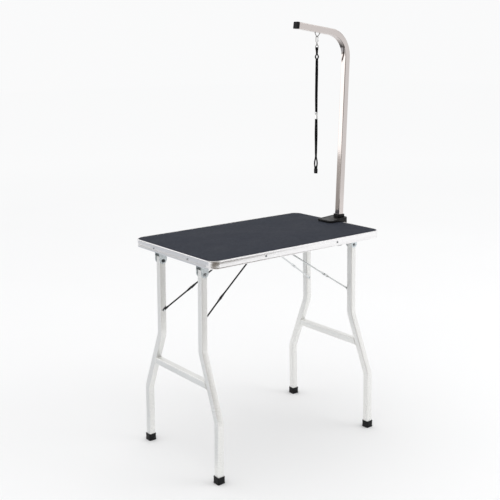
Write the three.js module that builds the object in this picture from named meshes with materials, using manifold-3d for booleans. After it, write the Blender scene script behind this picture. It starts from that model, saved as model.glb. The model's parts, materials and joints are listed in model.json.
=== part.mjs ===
// A folding pet grooming table with a clamp-on grooming arm and a hanging noose.
//
// Millimetres, +Z up, floor at z = 0, long side of the table along X. The table is built with its
// middle on x = 0, y = 0, and the whole group is moved along X at the end so that the origin lies
// under the middle of the outline. "left" is the -X end, "front" the -Y side.

import * as THREE from 'three';
import { mergeVertices } from 'three/addons/utils/BufferGeometryUtils.js';
import Module from 'manifold-3d';

const wasm = await Module();
wasm.setup();

// ---- driving dimensions ------------------------------------------------------------------------

const GAP = 0.3; // running gap between touching pieces

// Table top: a board with a rubber mat on it, held by a metal edge band.
const TOP_LENGTH = 812;
const TOP_WIDTH = 500;
const TOP_HEIGHT = 818; // upper face of the mat
const CORNER_RADIUS = 38;
const BAND_WALL = 1.5;
const BAND_LIP = 3.7; // width of the band seen from above
const BAND_LIP_HEIGHT = 3.5;
const BAND_BOTTOM = 790;
const BAND_TOP = TOP_HEIGHT + 0.6;
const MAT_THICKNESS = 3;
const BOARD_THICKNESS = 22;
const BOARD_TOP = TOP_HEIGHT - MAT_THICKNESS - GAP;
const BOARD_BOTTOM = BOARD_TOP - BOARD_THICKNESS;

// Round-head screws that hold the band, two on each side.
const SCREW_HEIGHT = 804;
const SCREW_HEAD_RADIUS = 4;
const SCREW_HEAD_RISE = 1.8;
const SCREW_SHANK_RADIUS = 1.8;
const SCREW_SHANK_LENGTH = 14;
const SCREW_ON_LONG_SIDE = 171; // distance from the middle of the side
const SCREW_ON_SHORT_SIDE = 109;

// Legs: square tube, vertical, bent outwards, then vertical again.
const TUBE = 25.4;
const TUBE_WALL = 1.5;
const HINGE_X = 361;
const HINGE_Z = 748;
const LEG_SPLAY = THREE.MathUtils.degToRad(1.06); // both frames lean out a little
const LEG_TOP_Y = 133;
const LEG_FOOT_Y = 229;
const LEG_ABOVE_HINGE = 16;
const UPPER_BEND_Z = 465;
const LOWER_BEND_Z = 228;
const LEG_BEND_RADIUS = 70;
const CROSSBAR_Z = 350;

// Rubber boots on the leg ends.
const BOOT_SIZE = 31.6;
const BOOT_HEIGHT = 27;
const BOOT_SOLE = 3;
const BOOT_POCKET = TUBE + 1; // also takes up the splay of the leg

// Hinge brackets under the board, with a bolt through both ears and the leg.
const EAR_WIDTH = 32;
const EAR_THICKNESS = 2;
const EAR_OFFSET = TUBE / 2 + 0.8; // leg middle to the ear's inner face
const EAR_BOTTOM = 736;
const BRACKET_FLANGE = 60;
const HINGE_BOLT_RADIUS = 4;
const HINGE_BOLT_HEAD_RADIUS = 6.5;
const HINGE_BOLT_HEAD_HEIGHT = 4;

// Folding braces: round rod, one hinged on each leg and one U-shaped rod for each pair of legs.
const ROD_RADIUS = 3;
const LUG_RADIUS = 5; // flattened rod ends
const LUG_THICKNESS = 3;
const BRACE_FOOT_Z = 559; // rivet on the leg
const ANCHOR_X = 40; // rivet line under the board
const ANCHOR_Z = 781;
const LOWER_LINK_LENGTH = 132.5;
const BRACE_FOOT_Y = 118.3;
const KNEE_LOWER_Y = 94.8; // middle of the lower link's lug
const KNEE_UPPER_Y = 91.5; // middle of the upper brace's lug
const ANCHOR_HALF_WIDTH = 48;
const BRACE_CORNER_RADIUS = 14;
const RIVET_RADIUS = 2.2;
const RIVET_HEAD_RADIUS = 3.4;
const KNEE_BUTTON_RADIUS = 3;
const KNEE_BUTTON_HEIGHT = 2; // 1 mm of it inside the lug
const ROD_START = 4.2; // from a pivot to the end of the round rod
const RIVET_HEAD_HEIGHT = 2.2;
const SADDLE_LENGTH = 24;
const SADDLE_WIDTH = 40;
const SADDLE_BOTTOM = 773.5;

// Clamp for the grooming arm, near the middle of the right-hand side.
const MAST_X = 428;
const MAST_Y = 10;
const MAST_LEAN = THREE.MathUtils.degToRad(2.15); // away from the table
const CLAMP_LEFT = 344; // end of the upper jaw, over the mat
const CLAMP_RIGHT = 445;
const CLAMP_SPINE_LEFT = 407.5; // the spine stands outside the edge band
const CLAMP_WIDTH = 80;
const CLAMP_CORNER_RADIUS = 8;
const UPPER_JAW_THICKNESS = 7;
const LOWER_JAW_LEFT = 356;
const LOWER_JAW_WIDTH = 44;
const LOWER_JAW_THICKNESS = 9;
const LOWER_JAW_TOP = 750;
const COLLAR_SIZE = 34; // around the mast, on top of the clamp
const COLLAR_BOTTOM = 9; // heights above the mat
const COLLAR_TOP = 25;
const SLEEVE_SIZE = 29;
const SLEEVE_BELOW_TOP = 79;
const CLAMP_SCREW_X = 380;
const CLAMP_SCREW_RADIUS = 5;
const CLAMP_SCREW_BOTTOM = 734;
const PAD_RADIUS = 14;
const PAD_THICKNESS = 5;
const KNOB_RADIUS = 19;
const KNOB_HEIGHT = 15;
const LOCK_KNOB_RADIUS = 15;
const LOCK_BELOW_TOP = 55;
const LOCK_SCREW_RADIUS = 3;
const LOCK_SCREW_LENGTH = 14;
const LOCK_KNOB_START = 21; // from the middle of the mast
const LOCK_KNOB_HEIGHT = 13;

// Grooming arm: one square tube, bent at the top, with a bail under its outer end.
const ARM_TUBE = 25;
const ARM_WALL = 1.2;
const MAST_BELOW_TOP = 104;
const ARM_CORNER_RISE = 739; // where the two straight parts would meet
const ARM_REACH = 260;
const ARM_RISE = THREE.MathUtils.degToRad(5.35); // measured square to the mast
const ARM_BEND_RADIUS = 95;
const END_CAP_LENGTH = 10;
const BOTTOM_PLUG_FLANGE = 4;
const CAP_INSERT = 16;
const BAIL_REACH = 156; // from the corner, along the arm
const BAIL_SPREAD = 24;
const BAIL_DROP = 31; // from the middle of the arm to the corner of the V
const BAIL_CORNER_RADIUS = 4;
const BAIL_WIRE_RADIUS = 1.6;

// Noose: snap hook, doubled tether, slider, hanging loop and the stop at its end.
const HOOK_WIRE_RADIUS = 1.5;
const HOOK_WIDTH = 11;
const HOOK_TIP_DROP = 9; // from the top of the bow to its open end
const GATE_WIRE_RADIUS = 1.1;
const GATE_CLEARANCE = 0.9; // lets the gate turn in under the hook's open end
const BARREL_RADIUS = 4;
const BARREL_TOP_Z = 1524;
const EYE_TOP_Z = 1517;
const EYE_BOTTOM_Z = 1506;
const WEBBING_WIDTH = 11;
const WEBBING_THICKNESS = 2;
const TETHER_TOP_Z = 1504;
const SLIDER_TOP_Z = 1263;
const SLIDER_BOTTOM_Z = 1236;
const STOP_TOP_Z = 1041;
const STOP_BOTTOM_Z = 1022;

// ---- materials ---------------------------------------------------------------------------------

function material(color, roughness, metalness) {
  return new THREE.MeshStandardMaterial({ color, roughness, metalness });
}

const MAT_RUBBER = material(0x40444f, 0.85, 0);
const WOOD_BOARD = material(0x9a7b55, 0.8, 0);
const BAND_METAL = material(0xd8d8d6, 0.35, 0.9);
const POWDER_COAT = material(0xdcdcd8, 0.45, 0.1);
const ZINC = material(0xc3ccd0, 0.4, 0.9);
const ROD_STEEL = material(0x9aa0a0, 0.35, 0.9);
const STAINLESS = material(0xcfc6c2, 0.22, 1);
const BLACK_PLASTIC = material(0x17181a, 0.5, 0);
const BLACK_METAL = material(0x1c1d20, 0.4, 0.3);
const BLACK_WEBBING = material(0x141416, 0.9, 0);

// ---- solids and helpers ------------------------------------------------------------------------

const group = new THREE.Group();

function place(name, geometry, mat, parent = group) {
  const mesh = new THREE.Mesh(geometry, mat);
  mesh.name = name;
  parent.add(mesh);
  return mesh;
}

// Closed BufferGeometry to manifold solid and back.
function toSolid(geometry) {
  const bare = geometry.index ? geometry.toNonIndexed() : geometry.clone();
  bare.deleteAttribute('normal');
  bare.deleteAttribute('uv');
  const merged = mergeVertices(bare, 1e-4);
  const vertProperties = new Float32Array(merged.attributes.position.array);
  const triVerts = new Uint32Array(merged.index.array);
  return new wasm.Manifold(new wasm.Mesh({ numProp: 3, vertProperties, triVerts }));
}

function toGeometry(solid) {
  const mesh = solid.getMesh();
  const geometry = new THREE.BufferGeometry();
  geometry.setAttribute('position', new THREE.BufferAttribute(new Float32Array(mesh.vertProperties), 3));
  geometry.setIndex(new THREE.BufferAttribute(new Uint32Array(mesh.triVerts), 1));
  geometry.computeVertexNormals();
  return geometry;
}

const join = (...geometries) =>
  toGeometry(geometries.map(toSolid).reduce((whole, piece) => whole.add(piece)));

const cut = (geometry, ...tools) =>
  toGeometry(tools.map(toSolid).reduce((whole, tool) => whole.subtract(tool), toSolid(geometry)));

// Box from its lowest and highest corners.
function boxBetween(low, high) {
  const [x0, y0, z0] = low;
  const [x1, y1, z1] = high;
  const box = new THREE.BoxGeometry(x1 - x0, y1 - y0, z1 - z0);
  return box.translate((x0 + x1) / 2, (y0 + y1) / 2, (z0 + z1) / 2);
}

// Cylinder between two points on a line parallel to 'x', 'y' or 'z'.
function rodAlong(axis, radius, from, length, sides = 14) {
  const rod = new THREE.CylinderGeometry(radius, radius, length, sides);
  if (axis === 'x') rod.rotateZ(-Math.PI / 2);
  if (axis === 'z') rod.rotateX(Math.PI / 2);
  const middle = new THREE.Vector3(...from);
  middle[axis] += length / 2;
  return rod.translate(middle.x, middle.y, middle.z);
}

function roundedRectangle(width, height, radius, target = new THREE.Shape()) {
  const w = width / 2;
  const h = height / 2;
  target.moveTo(w, -h + radius);
  target.lineTo(w, h - radius);
  target.absarc(w - radius, h - radius, radius, 0, Math.PI / 2);
  target.lineTo(-w + radius, h);
  target.absarc(-w + radius, h - radius, radius, Math.PI / 2, Math.PI);
  target.lineTo(-w, -h + radius);
  target.absarc(-w + radius, -h + radius, radius, Math.PI, 1.5 * Math.PI);
  target.lineTo(w - radius, -h);
  target.absarc(w - radius, -h + radius, radius, 1.5 * Math.PI, 2 * Math.PI);
  return target;
}

// Straight extrusion of a shape between two heights.
function slab(shape, bottom, top, curveSegments = 5) {
  const options = { depth: top - bottom, bevelEnabled: false, curveSegments };
  return new THREE.ExtrudeGeometry(shape, options).translate(0, 0, bottom);
}

// A route through given stations; the extrusion takes one step between each two of them.
class StationPath extends THREE.Curve {
  constructor(stations) {
    super();
    this.stations = stations;
  }

  getPoint(t, target = new THREE.Vector3()) {
    const place = THREE.MathUtils.clamp(t, 0, 1) * (this.stations.length - 1);
    const start = Math.min(Math.floor(place + 1e-6), this.stations.length - 2);
    return target.lerpVectors(this.stations[start], this.stations[start + 1], place - start);
  }

  getPointAt(u, target) {
    return this.getPoint(u, target);
  }

  getTangentAt(u, target = new THREE.Vector3()) {
    const last = this.stations.length - 1;
    const index = Math.round(u * last);
    const before = this.stations[Math.max(index - 1, 0)];
    const after = this.stations[Math.min(index + 1, last)];
    return target.subVectors(after, before).normalize();
  }
}

// Corner points joined by straight lines, with an arc at every inner corner. The radius is one number,
// or a list with one radius for each inner corner.
function filletedRoute(corners, radii, arcSteps) {
  const stations = [corners[0]];
  for (let i = 1; i < corners.length - 1; i += 1) {
    const radius = Array.isArray(radii) ? radii[i - 1] : radii;
    const toPrevious = corners[i - 1].clone().sub(corners[i]).normalize();
    const toNext = corners[i + 1].clone().sub(corners[i]).normalize();
    const half = toPrevious.angleTo(toNext) / 2;
    const bisector = toPrevious.clone().add(toNext).normalize();
    const centre = corners[i].clone().addScaledVector(bisector, radius / Math.sin(half));
    const start = corners[i].clone().addScaledVector(toPrevious, radius / Math.tan(half)).sub(centre);
    const turn = Math.PI - 2 * half;
    const normal = toNext.clone().cross(toPrevious).normalize();
    for (let step = 0; step <= arcSteps; step += 1) {
      stations.push(start.clone().applyAxisAngle(normal, (turn * step) / arcSteps).add(centre));
    }
  }
  stations.push(corners[corners.length - 1]);
  return stations;
}

// Each rounded corner of the section gets 2 * curveSegments chords.
function sweep(shape, stations, curveSegments = 1) {
  const extrudePath = new StationPath(stations);
  return new THREE.ExtrudeGeometry(shape, { steps: stations.length - 1, extrudePath, curveSegments });
}

const circle = (radius) => new THREE.Shape().absarc(0, 0, radius, 0, 2 * Math.PI);

const wire = (radius, stations, sides = 8) => sweep(circle(radius), stations, sides / 2);

function squareTubeSection(size, wall) {
  const shape = roundedRectangle(size, size, 2.5);
  shape.holes.push(roundedRectangle(size - 2 * wall, size - 2 * wall, 1, new THREE.Path()));
  return shape;
}

const point = (x, y, z) => new THREE.Vector3(x, y, z);
const ENDS = [['left', -1], ['right', 1]];
const SIDES = [['front', -1], ['back', 1]];

// ---- table top ---------------------------------------------------------------------------------

function outline(inset, target) {
  return roundedRectangle(TOP_LENGTH - 2 * inset, TOP_WIDTH - 2 * inset, CORNER_RADIUS - inset, target);
}

// Each screw: its name, the point on the band's outer face and its direction out of the table.
function bandScrews() {
  const screws = [];
  for (const [sideName, side] of SIDES) {
    for (const [endName, end] of ENDS) {
      const name = `band_screw_${sideName}_${endName}`;
      screws.push([name, end * SCREW_ON_LONG_SIDE, (side * TOP_WIDTH) / 2, 'y', side]);
    }
  }
  for (const [endName, end] of ENDS) {
    for (const [sideName, side] of SIDES) {
      const name = `band_screw_${endName}_${sideName}`;
      screws.push([name, (end * TOP_LENGTH) / 2, side * SCREW_ON_SHORT_SIDE, 'x', end]);
    }
  }
  return screws;
}

function screwHole(x, y, axis) {
  const length = 2 * (SCREW_SHANK_LENGTH + 2);
  const from = [x, y, SCREW_HEIGHT];
  from[axis === 'x' ? 0 : 1] -= length / 2;
  return rodAlong(axis, SCREW_SHANK_RADIUS + GAP, from, length, 8);
}

function screwGeometry() {
  const domeSteps = 4;
  const profile = [new THREE.Vector2(0, -SCREW_SHANK_LENGTH)];
  profile.push(new THREE.Vector2(SCREW_SHANK_RADIUS, -SCREW_SHANK_LENGTH));
  profile.push(new THREE.Vector2(SCREW_SHANK_RADIUS, GAP));
  for (let step = 0; step <= domeSteps; step += 1) {
    const angle = (step / domeSteps) * (Math.PI / 2);
    const radius = step === domeSteps ? 0 : SCREW_HEAD_RADIUS * Math.cos(angle);
    profile.push(new THREE.Vector2(radius, GAP + SCREW_HEAD_RISE * Math.sin(angle)));
  }
  return new THREE.LatheGeometry(profile, 12);
}

function buildTop() {
  const holes = bandScrews().map(([, x, y, axis]) => screwHole(x, y, axis));
  const board = slab(outline(BAND_WALL + GAP), BOARD_BOTTOM, BOARD_TOP);
  place('tabletop_board', cut(board, ...holes), WOOD_BOARD);
  place('rubber_mat', slab(outline(BAND_LIP + GAP), TOP_HEIGHT - MAT_THICKNESS, TOP_HEIGHT), MAT_RUBBER);

  const wall = outline(0);
  wall.holes.push(outline(BAND_WALL, new THREE.Path()));
  const lip = outline(0);
  lip.holes.push(outline(BAND_LIP, new THREE.Path()));
  const lipBottom = BAND_TOP - BAND_LIP_HEIGHT;
  const band = join(slab(wall, BAND_BOTTOM, BAND_TOP - 1), slab(lip, lipBottom, BAND_TOP));
  place('edge_band', cut(band, ...holes), BAND_METAL);

  for (const [name, x, y, axis, direction] of bandScrews()) {
    const screw = place(name, screwGeometry(), ZINC);
    screw.position.set(x, y, SCREW_HEIGHT);
    if (axis === 'x') screw.rotation.z = -direction * Math.PI / 2;
    if (axis === 'y' && direction < 0) screw.rotation.z = Math.PI;
  }
}

// ---- hinge brackets ----------------------------------------------------------------------------

function earShape() {
  const centre = EAR_BOTTOM + EAR_WIDTH / 2;
  const shape = new THREE.Shape();
  shape.moveTo(EAR_WIDTH / 2, BOARD_BOTTOM - GAP);
  shape.lineTo(-EAR_WIDTH / 2, BOARD_BOTTOM - GAP);
  shape.lineTo(-EAR_WIDTH / 2, centre);
  shape.absarc(0, centre, EAR_WIDTH / 2, Math.PI, 2 * Math.PI);
  return shape;
}

// An ear stands in the XZ plane; innerY and outerY are its two faces.
function ear(innerY, outerY) {
  const geometry = new THREE.ExtrudeGeometry(earShape(), { depth: EAR_THICKNESS, bevelEnabled: false });
  return geometry.rotateX(Math.PI / 2).translate(0, Math.max(innerY, outerY), 0);
}

function buildHingeBracket(endName, end, sideName, side) {
  const bracket = new THREE.Group();
  bracket.position.set(end * HINGE_X, side * LEG_TOP_Y, 0);
  group.add(bracket);

  const top = BOARD_BOTTOM - GAP;
  const flange = slab(roundedRectangle(EAR_WIDTH, BRACKET_FLANGE, 5), top - EAR_THICKNESS, top, 2);
  const ears = [ear(EAR_OFFSET, EAR_OFFSET + EAR_THICKNESS), ear(-EAR_OFFSET - EAR_THICKNESS, -EAR_OFFSET)];
  const reach = BRACKET_FLANGE;
  const bore = rodAlong('y', HINGE_BOLT_RADIUS + GAP, [0, -reach / 2, HINGE_Z], reach);
  const suffix = `${endName}_${sideName}`;
  place(`hinge_bracket_${suffix}`, cut(join(flange, ...ears), bore), ZINC, bracket);

  const earFace = EAR_OFFSET + EAR_THICKNESS + GAP;
  const headEnd = earFace + HINGE_BOLT_HEAD_HEIGHT;
  const shank = rodAlong('y', HINGE_BOLT_RADIUS, [0, -headEnd, HINGE_Z], 2 * headEnd);
  const head = rodAlong('y', HINGE_BOLT_HEAD_RADIUS, [0, earFace, HINGE_Z], HINGE_BOLT_HEAD_HEIGHT);
  const nut = rodAlong('y', HINGE_BOLT_HEAD_RADIUS, [0, -headEnd, HINGE_Z], HINGE_BOLT_HEAD_HEIGHT, 6);
  const bolt = place(`hinge_bolt_${suffix}`, join(shank, head, nut), ZINC, bracket);
  bolt.rotation.z = side > 0 ? 0 : Math.PI;
}

// ---- leg frames --------------------------------------------------------------------------------

// The frame is drawn with the hinge line at the origin and leaned by the splay.
function legRoute(side) {
  const corners = [
    point(0, side * LEG_TOP_Y, LEG_ABOVE_HINGE),
    point(0, side * LEG_TOP_Y, UPPER_BEND_Z - HINGE_Z),
    point(0, side * LEG_FOOT_Y, LOWER_BEND_Z - HINGE_Z),
    point(0, side * LEG_FOOT_Y, BOOT_SOLE + GAP + 0.4 - HINGE_Z),
  ];
  return filletedRoute(corners, LEG_BEND_RADIUS, 5);
}

const LEG_SLOPE = (LEG_FOOT_Y - LEG_TOP_Y) / (UPPER_BEND_Z - LOWER_BEND_Z);
const legMiddleY = (z) => LEG_TOP_Y + (UPPER_BEND_Z - z) * LEG_SLOPE;

function crossbar() {
  const faceOffset = (TUBE / 2) * Math.hypot(1, LEG_SLOPE) + GAP + 0.1;
  const low = CROSSBAR_Z - TUBE / 2;
  const high = CROSSBAR_Z + TUBE / 2;
  const shape = new THREE.Shape();
  shape.moveTo(-legMiddleY(low) + faceOffset, low - HINGE_Z);
  shape.lineTo(legMiddleY(low) - faceOffset, low - HINGE_Z);
  shape.lineTo(legMiddleY(high) - faceOffset, high - HINGE_Z);
  shape.lineTo(-legMiddleY(high) + faceOffset, high - HINGE_Z);
  const bar = new THREE.ExtrudeGeometry(shape, { depth: TUBE, bevelEnabled: false });
  bar.translate(0, 0, -TUBE / 2).rotateX(Math.PI / 2).rotateZ(Math.PI / 2);
  const middle = CROSSBAR_Z - HINGE_Z;
  const bore = TUBE / 2 - TUBE_WALL;
  const core = boxBetween([-bore, -LEG_FOOT_Y, middle - bore], [bore, LEG_FOOT_Y, middle + bore]);
  return cut(bar, core);
}

// The rivet on each leg that carries the lower link of the brace.
function linkRivet(side) {
  const innerFace = LEG_TOP_Y - TUBE / 2;
  const tail = innerFace + TUBE_WALL + GAP;
  const headBottom = BRACE_FOOT_Y - LUG_THICKNESS / 2 - GAP;
  const shankStart = headBottom - RIVET_HEAD_HEIGHT;
  const shank = rodAlong('y', RIVET_RADIUS, [0, shankStart, 0], tail + 2 - shankStart, 14);
  const head = rodAlong('y', RIVET_HEAD_RADIUS, [0, shankStart, 0], RIVET_HEAD_HEIGHT, 14);
  const tailFlange = rodAlong('y', RIVET_RADIUS + 1.5, [0, tail, 0], 2, 14);
  const rivet = join(shank, head, tailFlange);
  return side > 0 ? rivet : rivet.rotateZ(Math.PI);
}

function buildLegFrame(endName, end) {
  const frame = new THREE.Group();
  frame.position.set(end * HINGE_X, 0, HINGE_Z);
  frame.rotation.y = -end * LEG_SPLAY;
  group.add(frame);

  const section = squareTubeSection(TUBE, TUBE_WALL);
  for (const [sideName, side] of SIDES) {
    const y = side * LEG_TOP_Y;
    const hingeHole = rodAlong('y', HINGE_BOLT_RADIUS + GAP, [0, y - TUBE, 0], 2 * TUBE);
    const innerWall = side * (LEG_TOP_Y - TUBE / 2);
    const linkHole = rodAlong('y', RIVET_RADIUS + GAP, [0, innerWall - 5, BRACE_FOOT_Z - HINGE_Z], 10);
    const leg = cut(sweep(section, legRoute(side)), hingeHole, linkHole);
    place(`leg_${endName}_${sideName}`, leg, POWDER_COAT, frame);
    const rivet = place(`link_rivet_${endName}_${sideName}`, linkRivet(side), ZINC, frame);
    rivet.position.z = BRACE_FOOT_Z - HINGE_Z;

    const footX = end * (HINGE_X + HINGE_Z * Math.tan(LEG_SPLAY));
    const boot = slab(roundedRectangle(BOOT_SIZE, BOOT_SIZE, 3.5), 0, BOOT_HEIGHT, 2);
    const half = BOOT_POCKET / 2;
    const pocket = boxBetween([-half, -half, BOOT_SOLE], [half, half, BOOT_HEIGHT + 1]);
    const foot = place(`foot_${endName}_${sideName}`, cut(boot, pocket), BLACK_PLASTIC);
    foot.position.set(footX, side * LEG_FOOT_Y, 0);
  }
  place(`crossbar_${endName}`, crossbar(), POWDER_COAT, frame);
}

// ---- folding braces ----------------------------------------------------------------------------

// All three pivots of a brace lie on one straight line in the XZ plane at rest.
function bracePivots(end) {
  const drop = HINGE_Z - BRACE_FOOT_Z;
  const foot = point(end * (HINGE_X + drop * Math.tan(LEG_SPLAY)), 0, BRACE_FOOT_Z);
  const anchor = point(end * ANCHOR_X, 0, ANCHOR_Z);
  const along = anchor.clone().sub(foot).normalize();
  const knee = foot.clone().addScaledVector(along, LOWER_LINK_LENGTH);
  return { foot, anchor, knee, along };
}

function lug(centre, y) {
  return rodAlong('y', LUG_RADIUS, [centre.x, y - LUG_THICKNESS / 2, centre.z], LUG_THICKNESS);
}

// Cutting block that leaves a lug flat on the face at faceY; outwards is the side that is cut away.
function faceTrim(centre, faceY, outwards) {
  const reach = 25;
  const far = faceY + outwards * 10;
  return boxBetween(
    [centre.x - reach, Math.min(faceY, far), centre.z - reach],
    [centre.x + reach, Math.max(faceY, far), centre.z + reach],
  );
}

// Rivet button that stands out of a knee lug's face.
function kneeButton(centre, faceY, outwards) {
  const sunk = faceY - outwards;
  const start = Math.min(sunk, sunk + outwards * KNEE_BUTTON_HEIGHT);
  return rodAlong('y', KNEE_BUTTON_RADIUS, [centre.x, start, centre.z], KNEE_BUTTON_HEIGHT);
}

function at(base, along, distance, y) {
  const spot = base.clone().addScaledVector(along, distance);
  return point(spot.x, y, spot.z);
}

function lowerLink(end, side) {
  const { foot, knee, along } = bracePivots(end);
  const stations = [
    at(foot, along, ROD_START, side * (BRACE_FOOT_Y - 0.1)),
    at(foot, along, 14, side * (BRACE_FOOT_Y - 1.6)),
    at(knee, along, -14, side * (KNEE_LOWER_Y + 1.9)),
    at(knee, along, -ROD_START, side * KNEE_LOWER_Y),
  ];
  const rod = wire(ROD_RADIUS, stations, 10);
  const flats = [lug(foot, side * BRACE_FOOT_Y), lug(knee, side * KNEE_LOWER_Y)];
  const kneeTrim = faceTrim(knee, side * (KNEE_LOWER_Y - LUG_THICKNESS / 2), -side);
  const legTrim = faceTrim(foot, side * (BRACE_FOOT_Y + LUG_THICKNESS / 2), side);
  const footBore = rodAlong('y', RIVET_RADIUS + GAP, [foot.x, side * BRACE_FOOT_Y - 15, foot.z], 30);
  const button = kneeButton(knee, side * (KNEE_LOWER_Y + LUG_THICKNESS / 2), side);
  return cut(join(rod, ...flats, button), kneeTrim, legTrim, footBore);
}

function upperBrace(end) {
  const { knee, anchor, along } = bracePivots(end);
  const corners = [
    at(knee, along, ROD_START, -KNEE_UPPER_Y + 0.5),
    at(knee, along, 14, -KNEE_UPPER_Y + 2.2),
    point(anchor.x, -ANCHOR_HALF_WIDTH, anchor.z),
    point(anchor.x, ANCHOR_HALF_WIDTH, anchor.z),
    at(knee, along, 14, KNEE_UPPER_Y - 2.2),
    at(knee, along, ROD_START, KNEE_UPPER_Y - 0.5),
  ];
  const bend = filletedRoute(corners.slice(1, 5), BRACE_CORNER_RADIUS, 4);
  const rod = wire(ROD_RADIUS, [corners[0], ...bend, corners[5]], 10);
  const pieces = [rod];
  const trims = [];
  for (const [, side] of SIDES) {
    pieces.push(lug(knee, side * KNEE_UPPER_Y));
    pieces.push(kneeButton(knee, side * (KNEE_UPPER_Y - LUG_THICKNESS / 2), -side));
    trims.push(faceTrim(knee, side * (KNEE_UPPER_Y + LUG_THICKNESS / 2), side));
  }
  return cut(join(...pieces), ...trims);
}

function saddle(end) {
  const x = end * ANCHOR_X;
  const block = boxBetween(
    [x - SADDLE_LENGTH / 2, -SADDLE_WIDTH / 2, SADDLE_BOTTOM],
    [x + SADDLE_LENGTH / 2, SADDLE_WIDTH / 2, BOARD_BOTTOM - GAP],
  );
  return cut(block, rodAlong('y', ROD_RADIUS + GAP, [x, -SADDLE_WIDTH, ANCHOR_Z], 2 * SADDLE_WIDTH, 16));
}

function buildBraces(endName, end) {
  for (const [sideName, side] of SIDES) {
    place(`lower_link_${endName}_${sideName}`, lowerLink(end, side), ROD_STEEL);
  }
  place(`upper_brace_${endName}`, upperBrace(end), ROD_STEEL);
  place(`brace_saddle_${endName}`, saddle(end), ZINC);
}

// ---- clamp -------------------------------------------------------------------------------------

// Knob with rounded lobes, drawn along Z with its top face at z = 0.
function lobedKnob(radius, height, lobes) {
  const shape = new THREE.Shape();
  const steps = lobes * 6;
  for (let step = 0; step < steps; step += 1) {
    const angle = (step / steps) * 2 * Math.PI;
    const reach = radius * (0.9 + 0.1 * Math.cos(lobes * angle));
    if (step === 0) shape.moveTo(reach, 0);
    else shape.lineTo(reach * Math.cos(angle), reach * Math.sin(angle));
  }
  return slab(shape, -height, 0);
}

// One casting: upper jaw, spine outside the table's edge and lower jaw, with a leaning bore for the
// sleeve.
function clampBody(armGroup) {
  const bottom = LOWER_JAW_TOP - LOWER_JAW_THICKNESS;
  const mouthTop = BAND_TOP + GAP;
  const outerShape = roundedRectangle(CLAMP_RIGHT - CLAMP_LEFT, CLAMP_WIDTH, CLAMP_CORNER_RADIUS);
  const block = slab(outerShape, bottom, mouthTop + UPPER_JAW_THICKNESS, 3);
  block.translate((CLAMP_LEFT + CLAMP_RIGHT) / 2, MAST_Y, 0);
  const mouth = boxBetween([CLAMP_LEFT - 1, MAST_Y - CLAMP_WIDTH, LOWER_JAW_TOP],
    [CLAMP_SPINE_LEFT, MAST_Y + CLAMP_WIDTH, mouthTop]);
  const shorter = boxBetween([CLAMP_LEFT - 1, MAST_Y - CLAMP_WIDTH, bottom - 1],
    [LOWER_JAW_LEFT, MAST_Y + CLAMP_WIDTH, LOWER_JAW_TOP + 1]);
  const sides = SIDES.map(([, side]) => {
    const inner = MAST_Y + (side * LOWER_JAW_WIDTH) / 2;
    const outer = MAST_Y + side * CLAMP_WIDTH;
    return boxBetween([CLAMP_LEFT, Math.min(inner, outer), bottom - 1],
      [CLAMP_SPINE_LEFT, Math.max(inner, outer), LOWER_JAW_TOP + 1]);
  });
  const screwHole = rodAlong('z', CLAMP_SCREW_RADIUS + GAP, [CLAMP_SCREW_X, MAST_Y, bottom - 5], 20, 16);
  const boreSize = SLEEVE_SIZE + 2 * GAP;
  const bore = slab(roundedRectangle(boreSize, boreSize, 2), -2 * SLEEVE_BELOW_TOP, COLLAR_TOP, 2);
  const lockHole = rodAlong('x', LOCK_SCREW_RADIUS + GAP, [0, 0, -LOCK_BELOW_TOP], 2 * SLEEVE_SIZE);
  armGroup.updateMatrixWorld(true);
  bore.applyMatrix4(armGroup.matrixWorld);
  lockHole.applyMatrix4(armGroup.matrixWorld);
  return cut(block, mouth, shorter, ...sides, screwHole, bore, lockHole);
}

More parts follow.
